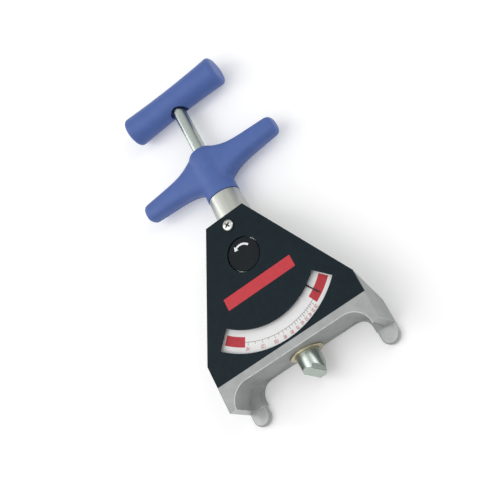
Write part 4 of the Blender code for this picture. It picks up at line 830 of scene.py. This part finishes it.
class GAUGE_OT_dial(bpy.types.Operator):
    """Prints the dial's blocks, scale and numbers, and dresses the pointer"""

    bl_idname = "gauge.dial"
    bl_label = "Dial and pointer"

    def execute(self, context):
        colours = context.scene.gauge_finish
        sizes = context.scene.gauge_sizes
        enamel = finish("dial_enamel", colours.dial)
        dressed_copy("scale_plate", "dial_plate", enamel, "gauge_body", DIAL_EDGE)
        red = finish("red_ink", colours.print_red)
        low, high = DIAL_TOP_Z + PRINT_LIFT, DIAL_TOP_Z + PRINT_LIFT + PRINT_THICKNESS
        for name, (start, end) in (("block_left", LEFT_BLOCK), ("block_right", RIGHT_BLOCK)):
            block = close_ends(band(BLOCK_INNER, BLOCK_OUTER, start, end, low, high, 16))
            add_piece(name, settle(block), red, "gauge_body", hard=False)
        ink = finish("scale_ink")
        line = band(SCALE_RADIUS, SCALE_RADIUS + sizes.tick_width, LEFT_BLOCK[1], RIGHT_BLOCK[0], low, high, 48)
        add_piece("scale_line", settle(close_ends(line)), ink, "gauge_body", hard=False)
        add_piece("scale_ticks", settle(self.ticks(sizes.tick_width, low)), ink, "gauge_body", hard=False)
        self.numbers(sizes.number_height, low, red)
        dressed_copy("needle", "pointer", finish("pointer_lacquer"), "pointer_assembly", POINTER_EDGE)
        return {"FINISHED"}

    def ticks(self, width, low):
        """Long marks at the printed values and short ones halfway between."""
        angles = [(angle, TICK_OUTER) for value, angle in SCALE_MARKS]
        for (_, first), (_, second) in zip(SCALE_MARKS, SCALE_MARKS[1:]):
            angles.append(((first + second) / 2, TICK_OUTER - SHORT_TICK_DROP))
        bm = bmesh.new()
        for angle, outer in angles:
            made = bmesh.ops.create_cube(bm, size=1)["verts"]
            bmesh.ops.scale(bm, vec=(width, outer - SCALE_RADIUS, PRINT_THICKNESS), verts=made)
            middle = Vector((0, -(outer + SCALE_RADIUS) / 2, low + PRINT_THICKNESS / 2))
            bmesh.ops.translate(bm, vec=middle, verts=made)
            bmesh.ops.rotate(bm, cent=(0, 0, 0), matrix=Matrix.Rotation(math.radians(angle), 3, "Z"), verts=made)
        bmesh.ops.translate(bm, verts=bm.verts, vec=Vector((0, PIVOT_Y, 0)))
        return bm

    def numbers(self, height, low, ink):
        """Plain numbers outside the marks, upright for a hand on the T handle."""
        bm = bmesh.new()
        for value, angle in SCALE_MARKS:
            curve = bpy.data.curves.new("number", "FONT")
            curve.body = str(value)
            curve.align_x = "CENTER"
            curve.size = height
            curve.resolution_u = 3
            text = bpy.data.objects.new("number", curve)
            bpy.context.scene.collection.objects.link(text)
            graph = bpy.context.evaluated_depsgraph_get()
            mesh = bpy.data.meshes.new_from_object(text.evaluated_get(graph), depsgraph=graph)
            bpy.data.objects.remove(text, do_unlink=True)
            place = (
                Matrix.Translation((0, PIVOT_Y, low))
                @ Matrix.Rotation(math.radians(angle), 4, "Z")
                @ Matrix.Translation((0, -NUMBER_RADIUS, 0))
                @ Matrix.Rotation(math.pi, 4, "Z")
                @ Matrix.Diagonal((NUMBER_SQUEEZE, 1, 1, 1))
            )
            mesh.transform(place)
            bm.from_mesh(mesh)
            bpy.data.meshes.remove(mesh)
        bmesh.ops.remove_doubles(bm, verts=bm.verts, dist=MERGE)
        thickened(bm, bm.faces[:], PRINT_RISE)
        add_piece("scale_numbers", settle(tidy(bm)), ink, "gauge_body", hard=False)


class GAUGE_OT_knob(bpy.types.Operator):
    """Dresses the reset knob and prints its arrow"""

    bl_idname = "gauge.knob"
    bl_label = "Reset knob"

    def execute(self, context):
        dressed_copy("reset_disc", "reset_knob", finish("knob_plastic"), "pointer_assembly", KNOB_EDGE)
        low = KNOB_TOP_Z + PRINT_LIFT
        shaft = band(ARROW_INNER, ARROW_OUTER, ARROW_START, ARROW_END, low, low + PRINT_THICKNESS, 18)
        close_ends(shaft)
        turn = math.radians(ARROW_END) - math.pi / 2
        middle = (ARROW_INNER + ARROW_OUTER) / 2
        tip_turn = turn + ARROW_HEAD_TURN
        outer, inner = middle + ARROW_HEAD_HALF_WIDTH, middle - ARROW_HEAD_HALF_WIDTH
        corners = [
            (outer * math.cos(turn), outer * math.sin(turn)),
            (middle * math.cos(tip_turn), middle * math.sin(tip_turn)),
            (inner * math.cos(turn), inner * math.sin(turn)),
        ]
        head = shaft.faces.new([shaft.verts.new((x, PIVOT_Y + y, low)) for x, y in corners])
        thickened(shaft, [head], PRINT_RISE)
        add_piece("knob_arrow", settle(tidy(shaft)), finish("white_ink"), "pointer_assembly", hard=False)
        return {"FINISHED"}


class GAUGE_OT_t_handle(bpy.types.Operator):
    """Models the T handle with its rounded ends and the recess round the rod"""

    bl_idname = "gauge.t_handle"
    bl_label = "T handle"

    def execute(self, context):
        profile = [(0, -T_HALF_LENGTH)]
        straight = T_HALF_LENGTH - T_END_ROUND
        for step in range(8):
            angle = math.pi / 2 * step / 7
            radius = T_END_RADIUS - T_END_ROUND * (1 - math.sin(angle))
            profile.append((radius, -straight - T_END_ROUND * math.cos(angle)))
        for step in range(1, T_RINGS):
            place = -1 + 2 * step / T_RINGS
            radius = T_WAIST_RADIUS + (T_END_RADIUS - T_WAIST_RADIUS) * place**2
            profile.append((radius, place * straight))
        profile += [(radius, -height) for radius, height in reversed(profile[:9])]
        bm = laid_along(turned(profile, T_SIDES), "X", T_CENTRE_Y)
        blank = plain_object("t_blank", bm)
        under = T_CENTRE_Y - T_END_RADIUS - CUT_OVERRUN
        subtract(blank, bar(T_RECESS_RADIUS, under, T_CENTRE_Y - T_WAIST_RADIUS + T_RECESS_DEPTH, 96))
        subtract(blank, bar(ROD_RADIUS + ROD_CLEARANCE, under, T_CENTRE_Y + T_BORE_DEPTH))
        cut = taken_mesh(blank)
        material = finish("moulded_blue", context.scene.gauge_finish.handle)
        add_piece("t_grip", settle(tidy(cut)), material, "plunger", ("t_handle",))
        return {"FINISHED"}


class GAUGE_OT_cross_handle(bpy.types.Operator):
    """Models the cross handle, whose arms flow into a domed hub"""

    bl_idname = "gauge.cross_handle"
    bl_label = "Cross handle"

    def execute(self, context):
        bm = bmesh.new()
        stations = 40
        inner = CROSS_HALF_SPAN - ARM_END_ROUND
        xs = [inner * (-1 + 2 * step / stations) for step in range(stations + 1)]
        tip = [inner + ARM_END_ROUND * share for share in ARM_END_SHARES]
        xs = [-x for x in reversed(tip)] + xs + tip
        rings = [self.ring(bm, x) for x in xs]
        for low, high in zip(rings, rings[1:]):
            bmesh.ops.bridge_loops(bm, edges=low + high)
        bmesh.ops.holes_fill(bm, edges=[edge for edge in bm.edges if edge.is_boundary], sides=0)
        tidy(bm)
        low = CROSS_HUB_LOW_Y - HUB_SPARE_LENGTH
        profile = [
            (0, low), (HUB_FOOT_RADIUS, low),
            (HUB_WAIST_RADIUS, (CROSS_HUB_LOW_Y + CROSS_ARM_Y) / 2), (HUB_RADIUS, CROSS_ARM_Y),
        ]
        crown = CROWN_TOP_Y - CROWN_LOW_Y
        for step in range(11):
            angle = math.pi / 2 * step / 10
            radius = CROWN_FLAT_RADIUS + (HUB_RADIUS - CROWN_FLAT_RADIUS) * math.cos(angle)
            profile.append((radius, CROWN_LOW_Y + crown * math.sin(angle)))
        profile.append((0, CROWN_TOP_Y))
        hub = laid_along(turned(profile, 72), "Y")
        mesh = bpy.data.meshes.new("hub")
        hub.to_mesh(mesh)
        hub.free()
        bm.from_mesh(mesh)
        bpy.data.meshes.remove(mesh)
        blank = plain_object("cross_blank", bm)
        remesh = blank.modifiers.new("blend", "REMESH")
        remesh.mode = "VOXEL"
        remesh.voxel_size = context.scene.gauge_sizes.moulding_grid
        smooth = blank.modifiers.new("soften", "SMOOTH")
        smooth.factor = 0.5
        smooth.iterations = 14
        bake_modifiers(blank)
        trimmed = bmesh.new()
        trimmed.from_mesh(blank.data)
        sliced(trimmed, (0, CROSS_HUB_LOW_Y, 0), (0, -1, 0))
        trimmed.to_mesh(blank.data)
        trimmed.free()
        under = CROSS_HUB_LOW_Y - CUT_OVERRUN
        subtract(blank, bar(SOCKET_RADIUS, under, SOCKET_TOP_Y))
        subtract(blank, bar(ROD_RADIUS + ROD_CLEARANCE, under, CROSS_HUB_TOP_Y + CUT_OVERRUN))
        final = taken_mesh(blank)
        material = finish("moulded_blue", context.scene.gauge_finish.handle)
        settle(tidy(final))
        add_piece("cross_grip", final, material, "gauge_body", ("cross_handle",), hard=False)
        return {"FINISHED"}

    def ring(self, bm, x):
        """One squarish oval section of an arm, from a circle that is pushed out at its corners."""
        out = abs(x) / CROSS_HALF_SPAN
        flare = ARM_FLARE * math.exp(-((abs(x) / ARM_FLARE_WIDTH) ** 2) / 2)
        half_y = ARM_TIP_HALF_Y + ARM_GROWTH_Y * (1 - out) + flare
        half_z = ARM_TIP_HALF_Z + ARM_GROWTH_Z * (1 - out)
        end = (abs(x) - (CROSS_HALF_SPAN - ARM_END_ROUND)) / ARM_END_ROUND
        if end > 0:
            inset = ARM_END_ROUND * (1 - math.sqrt(max(1 - min(end, 1) ** 2, 0)))
            half_y -= inset
            half_z -= inset
        made = bmesh.ops.create_circle(bm, cap_ends=False, radius=1, segments=40)["verts"]
        for vert in made:
            wide, tall = vert.co.x, vert.co.y
            vert.co = (
                x,
                CROSS_ARM_Y - ARM_DROP + half_y * math.copysign(abs(wide) ** ARM_SQUARENESS, wide),
                AXIS_Z + half_z * math.copysign(abs(tall) ** ARM_SQUARENESS, tall),
            )
        return ring_edges(made)


class GAUGE_OT_neck(bpy.types.Operator):
    """Dresses the bright collar and the plunger rod"""

    bl_idname = "gauge.neck"
    bl_label = "Collar and rod"

    def execute(self, context):
        width = context.scene.gauge_sizes.machined_edge
        dressed_copy("collar", "neck_collar", finish("satin_collar"), "gauge_body", width)
        dressed_copy("push_rod", "plunger_rod", finish("drawn_rod"), "plunger", width)
        return {"FINISHED"}


class GAUGE_OT_hook(bpy.types.Operator):
    """Dresses the hook and the bush that it slides in"""

    bl_idname = "gauge.hook"
    bl_label = "Hook and bush"

    def execute(self, context):
        width = context.scene.gauge_sizes.machined_edge
        bm = self.carved()
        ease_edges(bm, width)
        add_piece("belt_hook", settle(tidy(bm)), finish("zinc_plate"), "plunger", ("hook_rod",))
        dressed_copy("hook_guide", "hook_bush", finish("turned_brass"), "gauge_body", width)
        return {"FINISHED"}

    def carved(self):
        """A round bar whose end is milled to a blunt wedge with a seat for the belt's edge."""
        bm = bar(HOOK_RADIUS, HOOK_BLANK_TIP_Y, HOOK_TOP_Y, 96)
        for (x, y, z), facing in HOOK_FLATS:
            sliced(bm, (x, y, AXIS_Z + z), facing)
        blank = plain_object("hook_blank", tidy(bm))
        along = Vector(SEAT_ALONG).normalized()
        out = Vector(CAMERA_BACK).normalized()
        up = out.cross(along).normalized()
        seat = bmesh.new()
        start = Vector(SEAT_START) + Vector((0, 0, AXIS_Z))
        face = seat.faces.new([seat.verts.new(start + up * rise + out * depth) for rise, depth in SEAT_OUTLINE])
        thickened(seat, [face], along * SEAT_LENGTH)
        subtract(blank, seat)
        cut = taken_mesh(blank)
        bmesh.ops.dissolve_limit(cut, angle_limit=FLAT_ANGLE, verts=cut.verts, edges=cut.edges)
        return cut


class GAUGE_OT_inside(bpy.types.Operator):
    """Gives the works inside the casting their finishes"""

    bl_idname = "gauge.inside"
    bl_label = "Works inside"

    def execute(self, context):
        zinc = ("movement_plate", "movement_screw_1", "movement_screw_2", "movement_screw_3", "movement_screw_4",
                "dial_screw_left", "dial_screw_right", "rack", "rack_carrier", "rack_screw", "spring_seat")
        brass = ("pinion", "pinion_bearing", "rack_guide", "thrust_washer", "neck_bush")
        spring = ("hook_pin", "pinion_clip", "rod_clip", "clutch_washer")
        dressed = (
            ("zinc_plate", zinc), ("turned_brass", brass), ("dark_spring", spring),
            ("bright_plate", ("stop_pin_low", "stop_pin_high")), ("red_fibre", ("stop_washer",)),
        )
        for name, nodes in dressed:
            for node in nodes:
                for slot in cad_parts[node].material_slots:
                    slot.material = finish(name)
        wire = finish("dark_spring")
        coil = add_piece(
            "coil_spring", node_copy("main_spring"), wire, "gauge_body", ("main_spring",),
        )
        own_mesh(coil)
        return {"FINISHED"}


class GAUGE_OT_stage(bpy.types.Operator):
    """Makes the pale floor, the soft light and the camera"""

    bl_idname = "gauge.stage"
    bl_label = "Stage"

    def execute(self, context):
        studio = context.scene.gauge_studio
        floor = bmesh.new()
        bmesh.ops.create_grid(floor, x_segments=1, y_segments=1, size=FLOOR_REACH)
        bmesh.ops.translate(floor, verts=floor.verts, vec=Vector((0, 0, -FLOOR_DROP)))
        plain_object("floor", floor, self.floor_paint(studio.floor))
        self.make_world(studio.sky)
        self.lamp("key_light", *KEY_LIGHT, studio.key)
        self.lamp("left_strip", *LEFT_STRIP, studio.strip)
        self.lamp("right_strip", *RIGHT_STRIP, studio.strip)
        self.make_camera()
        context.scene.view_settings.view_transform = "Standard"
        return {"FINISHED"}

    def floor_paint(self, colour):
        """Pale matt paint with a faint glow of its own, so that it stays near white."""
        material = bpy.data.materials.new("floor_paint")
        material.use_nodes = True
        tree = material.node_tree
        shader = tree.nodes["Principled BSDF"]
        shader.inputs["Base Color"].default_value = (*colour, 1)
        shader.inputs["Roughness"].default_value = 0.9
        shader.inputs["Specular IOR Level"].default_value = 0.0
        shader.inputs["Emission Color"].default_value = (1, 1, 1, 1)
        shader.inputs["Emission Strength"].default_value = 0.16
        return material

    def make_world(self, strength):
        """Even sky light; the camera and reflections see a white surround."""
        world = bpy.data.worlds.new("studio")
        bpy.context.scene.world = world
        world.use_nodes = True
        tree = world.node_tree
        tree.nodes.clear()
        rays = tree.nodes.new("ShaderNodeLightPath").outputs
        seen = add_node(
            tree, "ShaderNodeMath", {0: rays["Is Camera Ray"], 1: rays["Is Transmission Ray"]}, operation="MAXIMUM",
        )
        place = tree.nodes.new("ShaderNodeTexCoord").outputs["Generated"]
        parts = add_node(tree, "ShaderNodeSeparateXYZ", {0: place})
        rise = add_node(tree, "ShaderNodeMapRange", {
            "Value": parts.outputs["Z"], "From Min": 0.1, "From Max": 0.9, "To Min": 0.30, "To Max": 1.0,
        })
        glossy = add_node(tree, "ShaderNodeMix", {
            "Factor": rays["Is Glossy Ray"], "A": strength, "B": rise.outputs["Result"],
        })
        level = add_node(tree, "ShaderNodeMix", {"Factor": seen.outputs[0], "A": glossy.outputs["Result"], "B": 1.0})
        back = add_node(tree, "ShaderNodeBackground", {"Color": (1, 1, 1, 1), "Strength": level.outputs["Result"]})
        out = tree.nodes.new("ShaderNodeOutputWorld")
        tree.links.new(back.outputs[0], out.inputs["Surface"])

    def lamp(self, name, place, width, length, power):
        """A soft rectangular lamp that faces the gauge."""
        data = bpy.data.lights.new(name, "AREA")
        data.shape = "RECTANGLE"
        data.size, data.size_y = width, length
        data.energy = power
        lamp = bpy.data.objects.new(name, data)
        bpy.context.scene.collection.objects.link(lamp)
        lamp.location = place
        lamp.rotation_mode = "QUATERNION"
        lamp.rotation_quaternion = (-Vector(place)).to_track_quat("-Z", "Y")

    def make_camera(self):
        """The camera at the photograph's view."""
        data = bpy.data.cameras.new("camera")
        data.sensor_fit = "HORIZONTAL"
        data.sensor_width = SENSOR_WIDTH
        data.lens = CAMERA_LENS
        camera = bpy.data.objects.new("camera", data)
        bpy.context.scene.collection.objects.link(camera)
        back = Vector(CAMERA_BACK).normalized()
        up = back.cross(Vector(CAMERA_RIGHT)).normalized()
        right = up.cross(back)
        turn = Matrix((right, up, back)).transposed()
        camera.rotation_mode = "QUATERNION"
        camera.rotation_quaternion = turn.to_quaternion()
        camera.location = CAMERA_PLACE
        bpy.context.scene.camera = camera


STEPS = (
    GAUGE_OT_stage, GAUGE_OT_housing, GAUGE_OT_face, GAUGE_OT_dial, GAUGE_OT_knob, GAUGE_OT_t_handle,
    GAUGE_OT_cross_handle, GAUGE_OT_neck, GAUGE_OT_hook, GAUGE_OT_inside,
)


class GAUGE_PT_sidebar(bpy.types.Panel):
    """Lists the gauge's sizes, colours and steps"""

    bl_idname = "GAUGE_PT_sidebar"
    bl_label = "Belt Tension Gauge"
    bl_space_type = "VIEW_3D"
    bl_region_type = "UI"
    bl_category = "Gauge"

    def draw(self, context):
        for settings in (context.scene.gauge_finish, context.scene.gauge_sizes, context.scene.gauge_studio):
            column = self.layout.column(align=True)
            for name in settings.__annotations__:
                column.prop(settings, name)
        column = self.layout.column(align=True)
        for step in STEPS:
            column.operator(step.bl_idname)


SETTINGS = (GAUGE_PG_finish, GAUGE_PG_sizes, GAUGE_PG_studio)
CLASSES = (*SETTINGS, *STEPS, GAUGE_PT_sidebar)


def register():
    for entry in CLASSES:
        bpy.utils.register_class(entry)
    bpy.types.Scene.gauge_finish = bpy.props.PointerProperty(type=GAUGE_PG_finish)
    bpy.types.Scene.gauge_sizes = bpy.props.PointerProperty(type=GAUGE_PG_sizes)
    bpy.types.Scene.gauge_studio = bpy.props.PointerProperty(type=GAUGE_PG_studio)


def unregister():
    del bpy.types.Scene.gauge_finish
    del bpy.types.Scene.gauge_sizes
    del bpy.types.Scene.gauge_studio
    for entry in reversed(CLASSES):
        bpy.utils.unregister_class(entry)


def main():
    """Runs every step in order."""
    register()
    for step in STEPS:
        area, name = step.bl_idname.split(".")
        getattr(getattr(bpy.ops, area), name)()
    bpy.context.view_layer.update()


if __name__ == "__main__":
    main()
